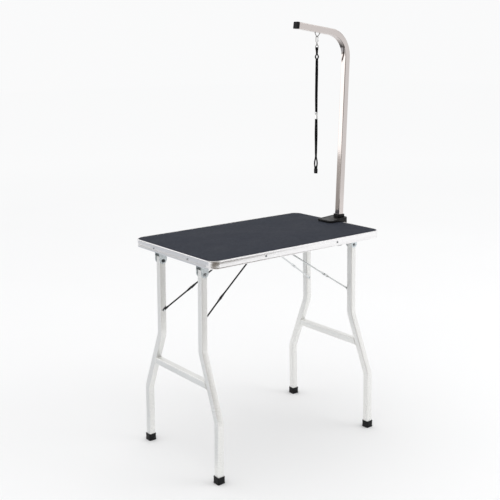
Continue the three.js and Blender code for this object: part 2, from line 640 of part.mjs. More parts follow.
function buildClamp(armGroup) {
  place('clamp_body', clampBody(armGroup), BLACK_METAL);

  // The sleeve leans with the mast that slides in it, and ends in a collar on top of the clamp.
  const boreSize = ARM_TUBE + 2 * GAP;
  const collar = slab(roundedRectangle(COLLAR_SIZE, COLLAR_SIZE, 4), COLLAR_BOTTOM, COLLAR_TOP, 2);
  const tube = slab(roundedRectangle(SLEEVE_SIZE, SLEEVE_SIZE, 2), -SLEEVE_BELOW_TOP, COLLAR_TOP - 1, 2);
  const slideBore = slab(roundedRectangle(boreSize, boreSize, 2), -SLEEVE_BELOW_TOP - 1, COLLAR_TOP + 1, 2);
  const lockHole = rodAlong('x', LOCK_SCREW_RADIUS + GAP, [0, 0, -LOCK_BELOW_TOP], SLEEVE_SIZE);
  place('mast_sleeve', cut(join(collar, tube), slideBore, lockHole), BLACK_PLASTIC, armGroup);

  const padTop = BOARD_BOTTOM - GAP;
  const padStart = [CLAMP_SCREW_X, MAST_Y, padTop - PAD_THICKNESS];
  const pad = rodAlong('z', PAD_RADIUS, padStart, PAD_THICKNESS, 20);
  place('clamp_pad', pad, BLACK_PLASTIC);
  const screwTop = padTop - PAD_THICKNESS - GAP;
  const screwLength = screwTop - CLAMP_SCREW_BOTTOM;
  const screwStart = [CLAMP_SCREW_X, MAST_Y, CLAMP_SCREW_BOTTOM];
  const screw = rodAlong('z', CLAMP_SCREW_RADIUS, screwStart, screwLength, 16);
  place('clamp_screw', screw, ZINC);
  const knob = place('clamp_knob', lobedKnob(KNOB_RADIUS, KNOB_HEIGHT, 5), BLACK_PLASTIC);
  knob.position.set(CLAMP_SCREW_X, MAST_Y, CLAMP_SCREW_BOTTOM - GAP);

  // The lock screw presses on the mast from outside.
  const lockStart = ARM_TUBE / 2 + GAP;
  const lockShank = rodAlong('x', LOCK_SCREW_RADIUS, [lockStart, 0, -LOCK_BELOW_TOP], LOCK_SCREW_LENGTH);
  const lockHandle = lobedKnob(LOCK_KNOB_RADIUS, LOCK_KNOB_HEIGHT, 5).rotateY(-Math.PI / 2);
  lockHandle.translate(LOCK_KNOB_START, 0, -LOCK_BELOW_TOP);
  place('mast_lock_knob', join(lockShank, lockHandle), BLACK_PLASTIC, armGroup);
}

// ---- grooming arm ------------------------------------------------------------------------------

// Points in the arm's own frame: the mast is the z axis, and the arm runs towards -x.
function alongArm(distance, above = 0) {
  const x = -distance * Math.cos(ARM_RISE) + above * Math.sin(ARM_RISE);
  const z = ARM_CORNER_RISE + distance * Math.sin(ARM_RISE) + above * Math.cos(ARM_RISE);
  return point(x, 0, z);
}

// Plastic plug for a tube end: a flange outside and an insert in the bore.
function endPlug(flangeSize, flangeLength) {
  const flange = slab(roundedRectangle(flangeSize, flangeSize, 2.5), GAP, flangeLength + GAP, 2);
  const insertSize = ARM_TUBE - 2 * ARM_WALL - 2 * GAP;
  return join(flange, slab(roundedRectangle(insertSize, insertSize, 1), -CAP_INSERT, 1, 1));
}

function buildArm(armGroup) {
  const corners = [point(0, 0, -MAST_BELOW_TOP), point(0, 0, ARM_CORNER_RISE), alongArm(ARM_REACH)];
  const route = filletedRoute(corners, ARM_BEND_RADIUS, 12);
  const tube = sweep(squareTubeSection(ARM_TUBE, ARM_WALL), route);

  // Bail: a V of wire whose two ends stand in holes in the arm's lower wall.
  const half = BAIL_SPREAD / 2;
  const underside = -ARM_TUBE / 2;
  const stems = [BAIL_REACH + half, BAIL_REACH - half];
  const holes = stems.map((reach) => wire(BAIL_WIRE_RADIUS + GAP,
    [alongArm(reach, underside + 3), alongArm(reach, underside - 3)], 8));
  place('grooming_arm', cut(tube, ...holes), STAINLESS, armGroup);
  const bailCorners = [
    alongArm(stems[0], underside + ARM_WALL + 1),
    alongArm(stems[0], underside - 2.2),
    alongArm(BAIL_REACH, -BAIL_DROP),
    alongArm(stems[1], underside - 2.2),
    alongArm(stems[1], underside + ARM_WALL + 1),
  ];
  const bailRoute = filletedRoute(bailCorners, [2.5, BAIL_CORNER_RADIUS, 2.5], 4);
  place('noose_bail', wire(BAIL_WIRE_RADIUS, bailRoute), STAINLESS, armGroup);

  const cap = place('arm_end_cap', endPlug(ARM_TUBE + 0.6, END_CAP_LENGTH), BLACK_PLASTIC, armGroup);
  cap.position.copy(alongArm(ARM_REACH));
  cap.rotation.y = -Math.PI / 2 + ARM_RISE;
  const foot = place('mast_bottom_plug', endPlug(ARM_TUBE, BOTTOM_PLUG_FLANGE), BLACK_PLASTIC, armGroup);
  foot.position.set(0, 0, -MAST_BELOW_TOP);
  foot.rotation.x = Math.PI;

  // The lowest point of the bail's centre line, in the table's frame.
  const lowered = bailRoute.map((spot) => armGroup.localToWorld(spot.clone()));
  return lowered.reduce((lowest, spot) => (spot.z < lowest.z ? spot : lowest));
}

// ---- noose -------------------------------------------------------------------------------------

// A straight flat strap, its width along Y, through points in the XZ plane.
function strap(points, thickness = WEBBING_THICKNESS, width = WEBBING_WIDTH) {
  return sweep(roundedRectangle(width, thickness, thickness * 0.4), points);
}

// The hook's bow passes through the bail, square to it, and hangs from its lowest point.
function buildSnapHook(bailLow) {
  const wireTop = bailLow.z + BAIL_WIRE_RADIUS + HOOK_WIRE_RADIUS + GAP + 0.1;
  const half = HOOK_WIDTH / 2;
  const low = BARREL_TOP_Z + 4;
  const spot = (y, z) => point(bailLow.x, MAST_Y + y, z);
  const hookRoute = filletedRoute([
    spot(0, BARREL_TOP_Z - 2), spot(0, low), spot(half, low + 2), spot(half, wireTop), spot(-half, wireTop),
    spot(-half, wireTop - HOOK_TIP_DROP),
  ], 2.4, 3);
  const gateRoute = [
    spot(-half, wireTop - HOOK_TIP_DROP - GATE_CLEARANCE), spot(-half + 0.4, low + 3), spot(-2.2, low + 1.2),
  ];
  const barrel = rodAlong('z', BARREL_RADIUS, [bailLow.x, MAST_Y, EYE_TOP_Z], BARREL_TOP_Z - EYE_TOP_Z);
  const eyeHalf = WEBBING_WIDTH / 2 + 2.2;
  const eyeRoute = filletedRoute([
    spot(0, EYE_TOP_Z + 1), spot(eyeHalf, EYE_TOP_Z - 1),
    spot(eyeHalf, EYE_BOTTOM_Z + HOOK_WIRE_RADIUS), spot(-eyeHalf, EYE_BOTTOM_Z + HOOK_WIRE_RADIUS),
    spot(-eyeHalf, EYE_TOP_Z - 1), spot(0, EYE_TOP_Z + 1.2),
  ], 1.8, 3);
  const eye = wire(HOOK_WIRE_RADIUS, eyeRoute.slice(0, -1).concat(spot(-1, EYE_TOP_Z + 1)), 8);
  place('snap_hook', join(wire(HOOK_WIRE_RADIUS, hookRoute, 8), barrel, eye), ZINC);
  place('snap_gate', wire(GATE_WIRE_RADIUS, gateRoute, 8), ZINC);
}

function buildNoose(x) {
  const spot = (dx, z) => point(x + dx, MAST_Y, z);
  const tether = [
    spot(0, TETHER_TOP_Z),
    spot(0.6, 1470),
    spot(0.2, 1400),
    spot(-0.5, 1330),
    spot(0, SLIDER_TOP_Z + GAP),
  ];
  place('noose_tether', strap(tether, 2 * WEBBING_THICKNESS + 0.6), BLACK_WEBBING);

  const slider = slab(roundedRectangle(9, 15, 2), SLIDER_BOTTOM_Z, SLIDER_TOP_Z, 2).translate(x, MAST_Y, 0);
  place('noose_slider', slider, ZINC);

  for (const [endName, end] of ENDS) {
    const run = [
      spot(end * 1.5, SLIDER_BOTTOM_Z - GAP),
      spot(end * 1.5, 1180),
      spot(end * 1.4, 1100),
      spot(end * 2.4, 1084),
      spot(end * 6, 1070),
      spot(end * 6.6, 1058),
      spot(end * 4, 1047),
      spot(end * 2.6, STOP_TOP_Z + GAP),
    ];
    place(`noose_loop_${endName}`, strap(run), BLACK_WEBBING);
  }
  const stop = slab(roundedRectangle(9, 14, 2), STOP_BOTTOM_Z, STOP_TOP_Z, 2).translate(x, MAST_Y, 0);
  place('noose_stop', stop, BLACK_PLASTIC);
}

// ---- assembly ----------------------------------------------------------------------------------

buildTop();
for (const [endName, end] of ENDS) {
  for (const [sideName, side] of SIDES) buildHingeBracket(endName, end, sideName, side);
  buildLegFrame(endName, end);
  buildBraces(endName, end);
}

const armGroup = new THREE.Group();
armGroup.position.set(MAST_X, MAST_Y, TOP_HEIGHT);
armGroup.rotation.y = MAST_LEAN;
group.add(armGroup);
buildClamp(armGroup);
armGroup.updateMatrixWorld(true);
const bailLow = buildArm(armGroup);
buildSnapHook(bailLow);
buildNoose(bailLow.x);

// Origin under the middle of the outline.
group.updateMatrixWorld(true);
const extent = new THREE.Box3().setFromObject(group, true);
group.position.x = -(extent.min.x + extent.max.x) / 2;

export default group;
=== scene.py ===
# A folding pet grooming table with a clamp-on arm and a hanging noose, in metres, +Z up.
# Every piece stands where its CAD node stands; "front" is the -Y side and "left" the -X end.
import json
import math
import random

import bpy
from mathutils import Matrix, Vector


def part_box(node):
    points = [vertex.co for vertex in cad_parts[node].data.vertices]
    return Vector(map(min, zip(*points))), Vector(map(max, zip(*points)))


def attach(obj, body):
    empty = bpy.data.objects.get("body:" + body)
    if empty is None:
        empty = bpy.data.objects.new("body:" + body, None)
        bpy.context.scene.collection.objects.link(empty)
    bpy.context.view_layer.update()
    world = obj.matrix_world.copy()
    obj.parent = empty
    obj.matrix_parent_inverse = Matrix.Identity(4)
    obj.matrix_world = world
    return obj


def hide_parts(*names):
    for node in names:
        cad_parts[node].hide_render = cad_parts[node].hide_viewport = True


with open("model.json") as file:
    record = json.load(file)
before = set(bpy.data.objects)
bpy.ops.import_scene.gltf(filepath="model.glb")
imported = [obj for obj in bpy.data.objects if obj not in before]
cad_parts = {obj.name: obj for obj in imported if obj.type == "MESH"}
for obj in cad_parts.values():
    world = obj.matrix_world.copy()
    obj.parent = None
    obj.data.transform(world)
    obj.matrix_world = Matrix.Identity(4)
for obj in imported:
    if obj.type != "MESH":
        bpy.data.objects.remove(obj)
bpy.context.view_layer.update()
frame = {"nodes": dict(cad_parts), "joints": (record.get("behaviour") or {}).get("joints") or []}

ENDS = {"left": -1, "right": 1}
SIDES = {"front": -1, "back": 1}
X_AXIS = Vector((1, 0, 0))
Y_AXIS = Vector((0, 1, 0))
Z_AXIS = Vector((0, 0, 1))

board_low, board_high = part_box("tabletop_board")
TABLE_X = (board_low.x + board_high.x) / 2
MAT_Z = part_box("rubber_mat")[1].z

# ---- driving dimensions ----------------------------------------------------------------------

TUBE = 0.0254  # square leg tube
TUBE_WALL = 0.0015
TUBE_CORNER = 0.0034
EAR_INNER_FACE = TUBE / 2 + 0.0008  # of a hinge bracket, from the leg's middle
BRACKET_THICKNESS = 0.002
UPPER_BEND_Z = 0.465
LOWER_BEND_Z = 0.228
LEG_BEND_RADIUS = 0.070
WELD_RADIUS = 0.0019
BAND_CORNER = 0.038  # corner radius of the table top
ROD_RADIUS = 0.003
LUG_RADIUS = 0.005
LUG_HALF_THICKNESS = 0.0015
LUG_REACH = 0.011  # from a lug's centre to the end of its flat stretch
LUG_TAPER = 0.013  # from there to the full round rod
LUG_TRIM = 0.0001  # a rod's path starts this much inside its lug's round end
LINK_LENGTH = 0.1325  # from a leg's rivet to the knee
KNEE_FLAT = 0.009  # straight stretch beside a pivot
KNEE_BEND_RADIUS = 0.02
BRACE_CORNER_RADIUS = 0.014
ARM_TUBE = 0.025
ARM_WALL = 0.0012
ARM_LEAN = math.radians(2.15)
ARM_RISE = math.radians(5.35)
ARM_CORNER_RISE = 0.739
ARM_BEND_RADIUS = 0.095
MAST_BELOW_MAT = 0.104
ARM_REACH = 0.260  # from the corner to the arm's end
BAIL_REACH = 0.156  # from the corner to the hook's bail
SLIDE_GAP = 0.0003  # round the mast in its sleeve, and at the lock screw's tip
MAST_X = TABLE_X + 0.428
MAST_Y = 0.010
JAW_RISE = 0.006  # the upper jaw is this much thicker at the mast than at its tip
WEBBING_WIDTH = 0.011
WEBBING_THICKNESS = 0.0015

random.seed(7)
scene = bpy.context.scene


# ---- camera ----------------------------------------------------------------------------------

def make_camera():
    """The camera stands in front of the table, to its left, a little above the arm's middle."""
    yaw = math.radians(38.09)
    pitch = math.radians(13.136)
    roll = math.radians(-0.519)
    forward = Vector((math.sin(yaw) * math.cos(pitch), math.cos(yaw) * math.cos(pitch), -math.sin(pitch)))
    right = Vector((math.cos(yaw), -math.sin(yaw), 0))
    up = right.cross(forward)
    right, up = right * math.cos(roll) + up * math.sin(roll), up * math.cos(roll) - right * math.sin(roll)
    data = bpy.data.cameras.new("camera")
    data.sensor_width = 36
    data.lens = 61.51
    data.clip_start = 0.05
    data.clip_end = 100
    camera = bpy.data.objects.new("camera", data)
    turn = Matrix((right, up, -forward)).transposed().to_4x4()
    camera.matrix_world = Matrix.Translation((TABLE_X - 1.9961, -2.4872, 1.4998)) @ turn
    scene.collection.objects.link(camera)
    scene.camera = camera


make_camera()
scene.view_settings.view_transform = "Standard"


# ---- mesh tools ------------------------------------------------------------------------------
# A part is (vertices, faces, flow). flow holds for each vertex its place in the straightened piece:
# along the sweep, then the two section coordinates. Materials use it for brush lines and weave.

def join_parts(parts):
    verts, faces, flow = [], [], []
    for part_verts, part_faces, part_flow in parts:
        start = len(verts)
        verts += part_verts
        flow += part_flow
        faces += [[index + start for index in face] for face in part_faces]
    return verts, faces, flow


def piece(name, parts, material, body, replaced=(), crease=38):
    """One mesh object from its parts, riding on a body, smooth except at edges over the crease angle."""
    verts, faces, flow = join_parts(parts)
    mesh = bpy.data.meshes.new(name)
    mesh.from_pydata([tuple(v) for v in verts], [], faces)
    attribute = mesh.attributes.new("flow", "FLOAT_VECTOR", "POINT")
    attribute.data.foreach_set("vector", [c for v in flow for c in v])
    mesh.materials.append(material)
    mesh.update()
    mesh.shade_smooth()
    mesh.set_sharp_from_angle(angle=math.radians(crease))
    obj = bpy.data.objects.new(name, mesh)
    scene.collection.objects.link(obj)
    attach(obj, body)
    if replaced:
        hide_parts(*replaced)
    return obj


def loft(rings, flows=None, caps=True, loop=False):
    """Quads between rings of equal length; the rings turn counter-clockwise about the loft's direction."""
    count = len(rings[0])
    verts = [v for ring in rings for v in ring]
    faces = []
    last = len(rings) if loop else len(rings) - 1
    for i in range(last):
        a = i * count
        b = ((i + 1) % len(rings)) * count
        for j in range(count):
            k = (j + 1) % count
            faces.append([a + j, a + k, b + k, b + j])
    if caps and not loop:
        faces.append(list(range(count))[::-1])
        faces.append(list(range(len(verts) - count, len(verts))))
    if flows is None:
        flow = [Vector(v) for v in verts]
    else:
        flow = [v for ring in flows for v in ring]
    return verts, faces, flow


def move(part, matrix):
    verts, faces, flow = part
    return [matrix @ v for v in verts], faces, flow


def rounded_rectangle(half_x, half_y, radius, steps=6, right=None):
    """Counter-clockwise points of a rectangle with round corners; right is the radius on the +X side."""
    points = []
    corners = ((1, 1, 0), (-1, 1, 90), (-1, -1, 180), (1, -1, 270))
    for sign_x, sign_y, start in corners:
        corner = max(min(right if right and sign_x > 0 else radius, half_x, half_y), 1e-5)
        for step in range(steps + 1):
            angle = math.radians(start + 90 * step / steps)
            x = sign_x * (half_x - corner) + corner * math.cos(angle)
            y = sign_y * (half_y - corner) + corner * math.sin(angle)
            points.append((x, y))
    return points


def plan(node):
    """A CAD node's box as its middle in plan, its half widths, and its lowest and highest z."""
    low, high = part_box(node)
    middle = (low + high) / 2
    return (middle.x, middle.y), (high.x - low.x) / 2, (high.y - low.y) / 2, low.z, high.z


def shrinking(half_x, half_y, radius, *rest):
    """outline(inset) for stack(): a rounded rectangle that keeps its corner radius."""
    return lambda inset: rounded_rectangle(half_x - inset, half_y - inset, radius, *rest)


def circle(radius, segments=20):
    return arc(radius, 0, 2 * math.pi, segments)[:-1]


def arc(radius, start, turn, steps):
    """Points at equal steps along an arc, both ends included."""
    angles = [start + turn * i / steps for i in range(steps + 1)]
    return [(radius * math.cos(angle), radius * math.sin(angle)) for angle in angles]


def fillet(corners, radii, steps=10):
    """A path of straight lines through the corners, with an arc at each inner one."""
    path = [corners[0]]
    for i in range(1, len(corners) - 1):
        radius = radii[i - 1] if isinstance(radii, (list, tuple)) else radii
        back = (corners[i - 1] - corners[i]).normalized()
        ahead = (corners[i + 1] - corners[i]).normalized()
        half = back.angle(ahead) / 2
        centre = corners[i] + (back + ahead).normalized() * (radius / math.sin(half))
        start = corners[i] + back * (radius / math.tan(half)) - centre
        axis = ahead.cross(back).normalized()
        turn = math.pi - 2 * half
        for step in range(steps + 1):
            path.append(Matrix.Rotation(turn * step / steps, 3, axis) @ start + centre)
    path.append(corners[-1])
    return path


def subdivide(path, longest):
    """The same path with no step longer than the given length."""
    dense = [path[0]]
    for a, b in zip(path, path[1:]):
        count = max(1, math.ceil((b - a).length / longest))
        dense += [a.lerp(b, i / count) for i in range(1, count + 1)]
    return dense


def smooth_route(points, per_span=10):
    """Catmull-Rom curve through the points."""
    ends = [points[0] * 2 - points[1], *points, points[-1] * 2 - points[-2]]
    route = []
    for p0, p1, p2, p3 in zip(ends, ends[1:], ends[2:], ends[3:]):
        for step in range(per_span):
            t = step / per_span
            route.append(0.5 * ((2 * p1) + (p2 - p0) * t + (2 * p0 - 5 * p1 + 4 * p2 - p3) * t * t
                                + (3 * p1 - p0 - 3 * p2 + p3) * t ** 3))
    return route + [points[-1]]


def stations(path, normal=None, loop=False):
    """(point, side, up, distance, tangent) along a path.
    side stays square to a given plane normal, or is carried along."""
    made = []
    distance = 0
    side = None
    count = len(path)
    for i, here in enumerate(path):
        before = path[(i - 1) % count] if loop or i else here
        after = path[(i + 1) % count] if loop or i < count - 1 else here
        tangent = (after - before).normalized()
        if normal is not None:
            up = normal.normalized()
            side = up.cross(tangent).normalized()
        else:
            if side is None:
                guess = Z_AXIS if abs(tangent.z) < 0.9 else X_AXIS
                side = tangent.cross(guess).normalized()
            side = (side - tangent * side.dot(tangent)).normalized()
            up = tangent.cross(side)
        if i:
            distance += (here - path[i - 1]).length
        made.append((here, side, up, distance, tangent))
    return made


def sweep(path, section, normal=None, caps=True, loop=False, shape=None):
    """Carries a section of (a, b) points along a path: a lies along side and b along up.
    shape(distance, a, b) may change each section point on the way."""
    rings, flows = [], []
    for here, side, up, distance, tangent in stations(path, normal, loop):
        turn = 1 if side.cross(up).dot(tangent) > 0 else -1
        points = section if turn > 0 else section[::-1]
        changed = [shape(distance, a, b) if shape else (a, b) for a, b in points]
        rings.append([here + side * a + up * b for a, b in changed])
        flows.append([Vector((distance, a, b)) for a, b in changed])
    return loft(rings, flows, caps, loop)


def pipe(path, outer, inner, normal=None, shape=None):
    """A hollow tube: the outer skin, the inner skin turned inside out, and a rim at each end."""
    skin = sweep(path, outer, normal, False, shape=shape)
    bore = sweep(path, inner, normal, False, shape=shape)
    count = len(outer)
    offset = len(skin[0])
    faces = skin[1] + [[index + offset for index in face][::-1] for face in bore[1]]
    last = offset - count
    for j in range(count):
        k = (j + 1) % count
        faces.append([k, j, offset + j, offset + k])
        faces.append([last + j, last + k, offset + last + k, offset + last + j])
    return skin[0] + bore[0], faces, skin[2] + bore[2]


def stack(levels, outline, centre=(0, 0)):
    """A solid of outlines at rising heights: each level is (height, inset), outline(inset) its points."""
    return loft([[Vector((centre[0] + x, centre[1] + y, z)) for x, y in outline(inset)]
                 for z, inset in levels])


def round_edges(low, high, radius, steps=4):
    """Levels for stack(): a plate from low to high whose upper and lower edges are rounded."""
    levels = []
    for step in range(steps + 1):
        angle = math.pi / 2 * step / steps
        levels.append((low + radius * (1 - math.cos(angle)), radius * (1 - math.sin(angle))))
    for step in range(steps + 1):
        angle = math.pi / 2 * step / steps
        levels.append((high - radius * (1 - math.sin(angle)), radius * (1 - math.cos(angle))))
    return levels


def block(low, high, corner=0.002, edge=0.0008):
    """A box with round upright corners and softened edges."""
    centre = ((low[0] + high[0]) / 2, (low[1] + high[1]) / 2)
    half_x = (high[0] - low[0]) / 2
    half_y = (high[1] - low[1]) / 2

    def outline(inset):
        return rounded_rectangle(half_x - inset, half_y - inset, max(corner - inset, edge / 4))

    return stack(round_edges(low[2], high[2], edge), outline, centre)


def lathe(profile, segments=32):
    """Turns (radius, height) points about Z; the profile starts and ends on the axis."""
    rings = []
    for radius, height in profile[1:-1]:
        rings.append([Vector((x, y, height)) for x, y in circle(radius, segments)])
    verts, faces, _ = loft(rings, caps=False)
    first, last = len(verts), len(verts) + 1
    verts += [Vector((0, 0, profile[0][1])), Vector((0, 0, profile[-1][1]))]
    top = len(rings) * segments - segments
    for j in range(segments):
        k = (j + 1) % segments
        faces.append([first, k, j])
        faces.append([last, top + j, top + k])
    return verts, faces, [Vector(v) for v in verts]


def facing(direction, place):
    """Matrix that turns +Z to the direction and moves the origin to the place."""
    return Matrix.Translation(place) @ Vector(direction).to_track_quat("Z", "Y").to_matrix().to_4x4()


def cross_head(radius, rise, segments=40, rings=12):
    """A domed screw head with a cross recess, standing on z = 0."""
    verts = [Vector((0, 0, rise - 0.35 * radius))]
    for ring in range(1, rings + 1):
        r = radius * ring / rings
        for j in range(segments):
            angle = 2 * math.pi * j / segments
            x, y = r * math.cos(angle), r * math.sin(angle)
            height = rise * math.sqrt(max(0.0, 1 - (r / radius) ** 2 * 0.92)) - 0.28 * rise * (ring == rings)
            in_cross = min(abs(x), abs(y)) < 0.13 * radius and r < 0.62 * radius
            verts.append(Vector((x, y, height - 0.35 * radius * in_cross)))
    faces = [[0, 1 + j, 1 + (j + 1) % segments] for j in range(segments)]
    for ring in range(rings - 1):
        a = 1 + ring * segments
        b = a + segments
        for j in range(segments):
            k = (j + 1) % segments
            faces.append([a + j, b + j, b + k, a + k])
    base = 1 + (rings - 1) * segments
    skirt = len(verts)
    verts += [Vector((v.x, v.y, -0.0004)) for v in verts[base:base + segments]]
    for j in range(segments):
        k = (j + 1) % segments
        faces.append([base + j, skirt + j, skirt + k, base + k])
    faces.append([skirt + j for j in range(segments)][::-1])
    return verts, faces, [Vector(v) for v in verts]


def bolt_head(radius, height, socket=0.45):
    """A button head with a hollow hexagonal socket, standing on z = 0."""
    profile = [(0, 0), (radius, 0), (radius, 0.35 * height)]
    for step in range(1, 6):
        angle = math.pi / 2 * step / 5 * 0.8
        reach = radius * (0.98 * math.cos(angle) + 0.02)
        profile.append((reach, height * (0.35 + 0.65 * math.sin(angle))))
    profile += [(socket * radius, height), (socket * radius * 0.95, 0.4 * height), (0, 0.35 * height)]
    return lathe(profile, 30)


def hexagon_nut(radius, height):
    """A hexagonal nut with a round washer face and the bolt's end standing out."""
    levels = [(0.0002, 0.0004), (0.0006, 0), (height - 0.0006, 0), (height, 0.0006)]
    nut = stack(levels, lambda inset: circle(radius - inset, 6))
    thread = lathe([(0, height - 0.001), (0.0031, height - 0.001), (0.0031, height + 0.0004),
                    (0.0026, height + 0.0009), (0, height + 0.0009)], 20)
    return join_parts([nut, thread])


def screws_from_below(x, y, z, spread_x, spread_y, *head):
    """Four cross-head screws driven up into the board about (x, y), their heads on z."""
    return [move(cross_head(*head), facing((0, 0, -1), Vector((x + dx, y + dy, z))))
            for dx in (-spread_x, spread_x) for dy in (-spread_y, spread_y)]


def weld_bead(path, radius):
    """A bead of weld round a closed path, with the ripple of the puddle."""
    dense = subdivide(path + [path[0]], radius * 0.9)[:-1]

    def ripple(distance, a, b):
        swell = 1 + 0.16 * math.sin(distance / radius * 2.6) + random.uniform(-0.05, 0.05)
        return a * swell, b * swell

    return sweep(dense, circle(radius, 8), loop=True, shape=ripple)


# ---- materials -------------------------------------------------------------------------------

class Shader:
    """A node material with short calls for the nodes that the finishes share."""

    def __init__(self, name, color, roughness, metallic=0.0, specular=0.5):
        self.material = bpy.data.materials.new(name)
        self.material.use_nodes = True
        self.tree = self.material.node_tree
        self.bsdf = next(n for n in self.tree.nodes if n.type == "BSDF_PRINCIPLED")
        self.bsdf.inputs["Base Color"].default_value = (*color, 1)
        self.bsdf.inputs["Roughness"].default_value = roughness
        self.bsdf.inputs["Metallic"].default_value = metallic
        self.bsdf.inputs["Specular IOR Level"].default_value = specular
        self.material.diffuse_color = (*color, 1)

    def node(self, kind, **values):
        made = self.tree.nodes.new(kind)
        for key, value in values.items():
            if key in made.inputs:
                made.inputs[key].default_value = value
            else:
                setattr(made, key, value)
        return made

    def link(self, source, target):
        self.tree.links.new(source, target)

    def feed(self, value, socket):
        """Puts a number, a colour or another node's output into an input."""
        if isinstance(value, (int, float)):
            socket.default_value = value
        elif isinstance(value, tuple):
            socket.default_value = (*value, 1)
        else:
            self.link(value, socket)

    def place(self, scale=(1, 1, 1), flow=False):
        """Object coordinates, or the piece's own flow, scaled."""
        mapping = self.node("ShaderNodeMapping")
        mapping.inputs["Scale"].default_value = scale
        if flow:
            source = self.node("ShaderNodeAttribute", attribute_name="flow")
            self.link(source.outputs["Vector"], mapping.inputs["Vector"])
        else:
            source = self.node("ShaderNodeTexCoord")
            self.link(source.outputs["Object"], mapping.inputs["Vector"])
        return mapping.outputs["Vector"]

    def noise(self, scale, detail=3, roughness=0.55, vector=None):
        made = self.node("ShaderNodeTexNoise", Scale=scale, Detail=detail, Roughness=roughness)
        self.link(vector or self.place(), made.inputs["Vector"])
        return made.outputs["Fac"]

    def ramp(self, factor, stops):
        """stops are (position, value or colour)."""
        made = self.node("ShaderNodeValToRGB")
        elements = made.color_ramp.elements
        while len(elements) < len(stops):
            elements.new(0.5)
        for element, (position, value) in zip(elements, stops):
            element.position = position
            element.color = (*value, 1) if isinstance(value, tuple) else (value, value, value, 1)
        self.link(factor, made.inputs["Fac"])
        return made.outputs["Color"]

    def mix(self, factor, first, second, mode="MIX"):
        made = self.node("ShaderNodeMix", data_type="RGBA", blend_type=mode)
        for index, value in ((0, factor), (6, first), (7, second)):
            self.feed(value, made.inputs[index])
        return made.outputs[2]

    def patches(self, factor, stops, first, second):
        """Mixes two colours by a ramp over the factor."""
        return self.mix(self.ramp(factor, stops), first, second)

    def math(self, operation, first, second=0.0):
        made = self.node("ShaderNodeMath", operation=operation)
        for socket, value in zip(made.inputs, (first, second)):
            self.feed(value, socket)
        return made.outputs[0]

    def span(self, value, low, high, to_low, to_high):
        """Value mapped from one range to another and held at its ends."""
        ends = {"From Min": low, "From Max": high, "To Min": to_low, "To Max": to_high}
        made = self.node("ShaderNodeMapRange", **ends)
        self.link(value, made.inputs["Value"])
        return made.outputs["Result"]

    def cells(self, feature, scale, **values):
        made = self.node("ShaderNodeTexVoronoi", feature=feature, Scale=scale, **values)
        self.link(self.place(), made.inputs["Vector"])
        return made

    def split_flow(self):
        """The piece's own flow as its separate x, y and z."""
        parts = self.node("ShaderNodeSeparateXYZ")
        self.link(self.place((1, 1, 1), True), parts.inputs["Vector"])
        return parts.outputs

    def color(self, source):
        self.link(source, self.bsdf.inputs["Base Color"])

    def roughness(self, source):
        self.link(source, self.bsdf.inputs["Roughness"])

    def bump(self, height, strength, distance, after=None):
        made = self.node("ShaderNodeBump", Strength=strength, Distance=distance)
        self.link(height, made.inputs["Height"])
        if after is not None:
            self.link(after, made.inputs["Normal"])
        self.link(made.outputs["Normal"], self.bsdf.inputs["Normal"])
        return made.outputs["Normal"]


def rubber_mat_material():
    s = Shader("pebbled_rubber", (0.024, 0.028, 0.040), 0.8, specular=0.18)
    cells = s.cells("SMOOTH_F1", 420, Smoothness=0.5)
    patches = s.noise(9, 4)
    speckle = s.noise(900, 2)
    mottle = s.noise(130, 4, 0.7)
    base = s.patches(patches, [(0.35, 0.0), (0.65, 1.0)], (0.0155, 0.0195, 0.033), (0.0200, 0.0245, 0.0385))
    worn = s.patches(mottle, [(0.38, 0.0), (0.66, 0.85)], base, (0.034, 0.040, 0.058))
    s.color(s.patches(speckle, [(0.45, 0.0), (0.75, 0.5)], worn, (0.047, 0.053, 0.070)))
    s.roughness(s.ramp(patches, [(0.3, 0.72), (0.7, 0.86)]))
    grain = s.bump(cells.outputs["Distance"], 0.55, 0.0006)
    s.bump(speckle, 0.25, 0.0002, grain)
    return s.material


def board_material():
    s = Shader("dark_fibreboard", (0.05, 0.038, 0.03), 0.6)
    long_grain = s.noise(6, 6, 0.6, s.place((1.2, 14, 14)))
    fibre = s.noise(160, 4, 0.6, s.place((0.4, 1, 1)))
    tone = s.patches(long_grain, [(0.3, 0.0), (0.7, 1.0)], (0.040, 0.030, 0.024), (0.070, 0.054, 0.042))
    s.color(s.patches(fibre, [(0.35, 0.0), (0.7, 0.5)], tone, (0.025, 0.019, 0.015)))
    s.bump(fibre, 0.3, 0.0003)
    return s.material


def brushed(name, color, roughness, flow, lines, tint=None, spread=0.07):
    """Metal with fine lines along the piece; lines is the noise scale on each axis."""
    s = Shader(name, color, roughness, metallic=1.0)
    hair = s.noise(1, 4, 0.65, s.place(lines, flow))
    cloud = s.noise(7, 3)
    s.roughness(s.ramp(hair, [(0.3, max(roughness - spread, 0.04)), (0.7, roughness + spread)]))
    dark = tint or tuple(c * 0.86 for c in color)
    streak = s.patches(hair, [(0.35, 0.0), (0.7, 0.6)], color, dark)
    s.color(s.patches(cloud, [(0.45, 0.0), (0.75, 0.5)], streak, dark))
    s.bump(hair, 0.10, 0.0001)
    return s


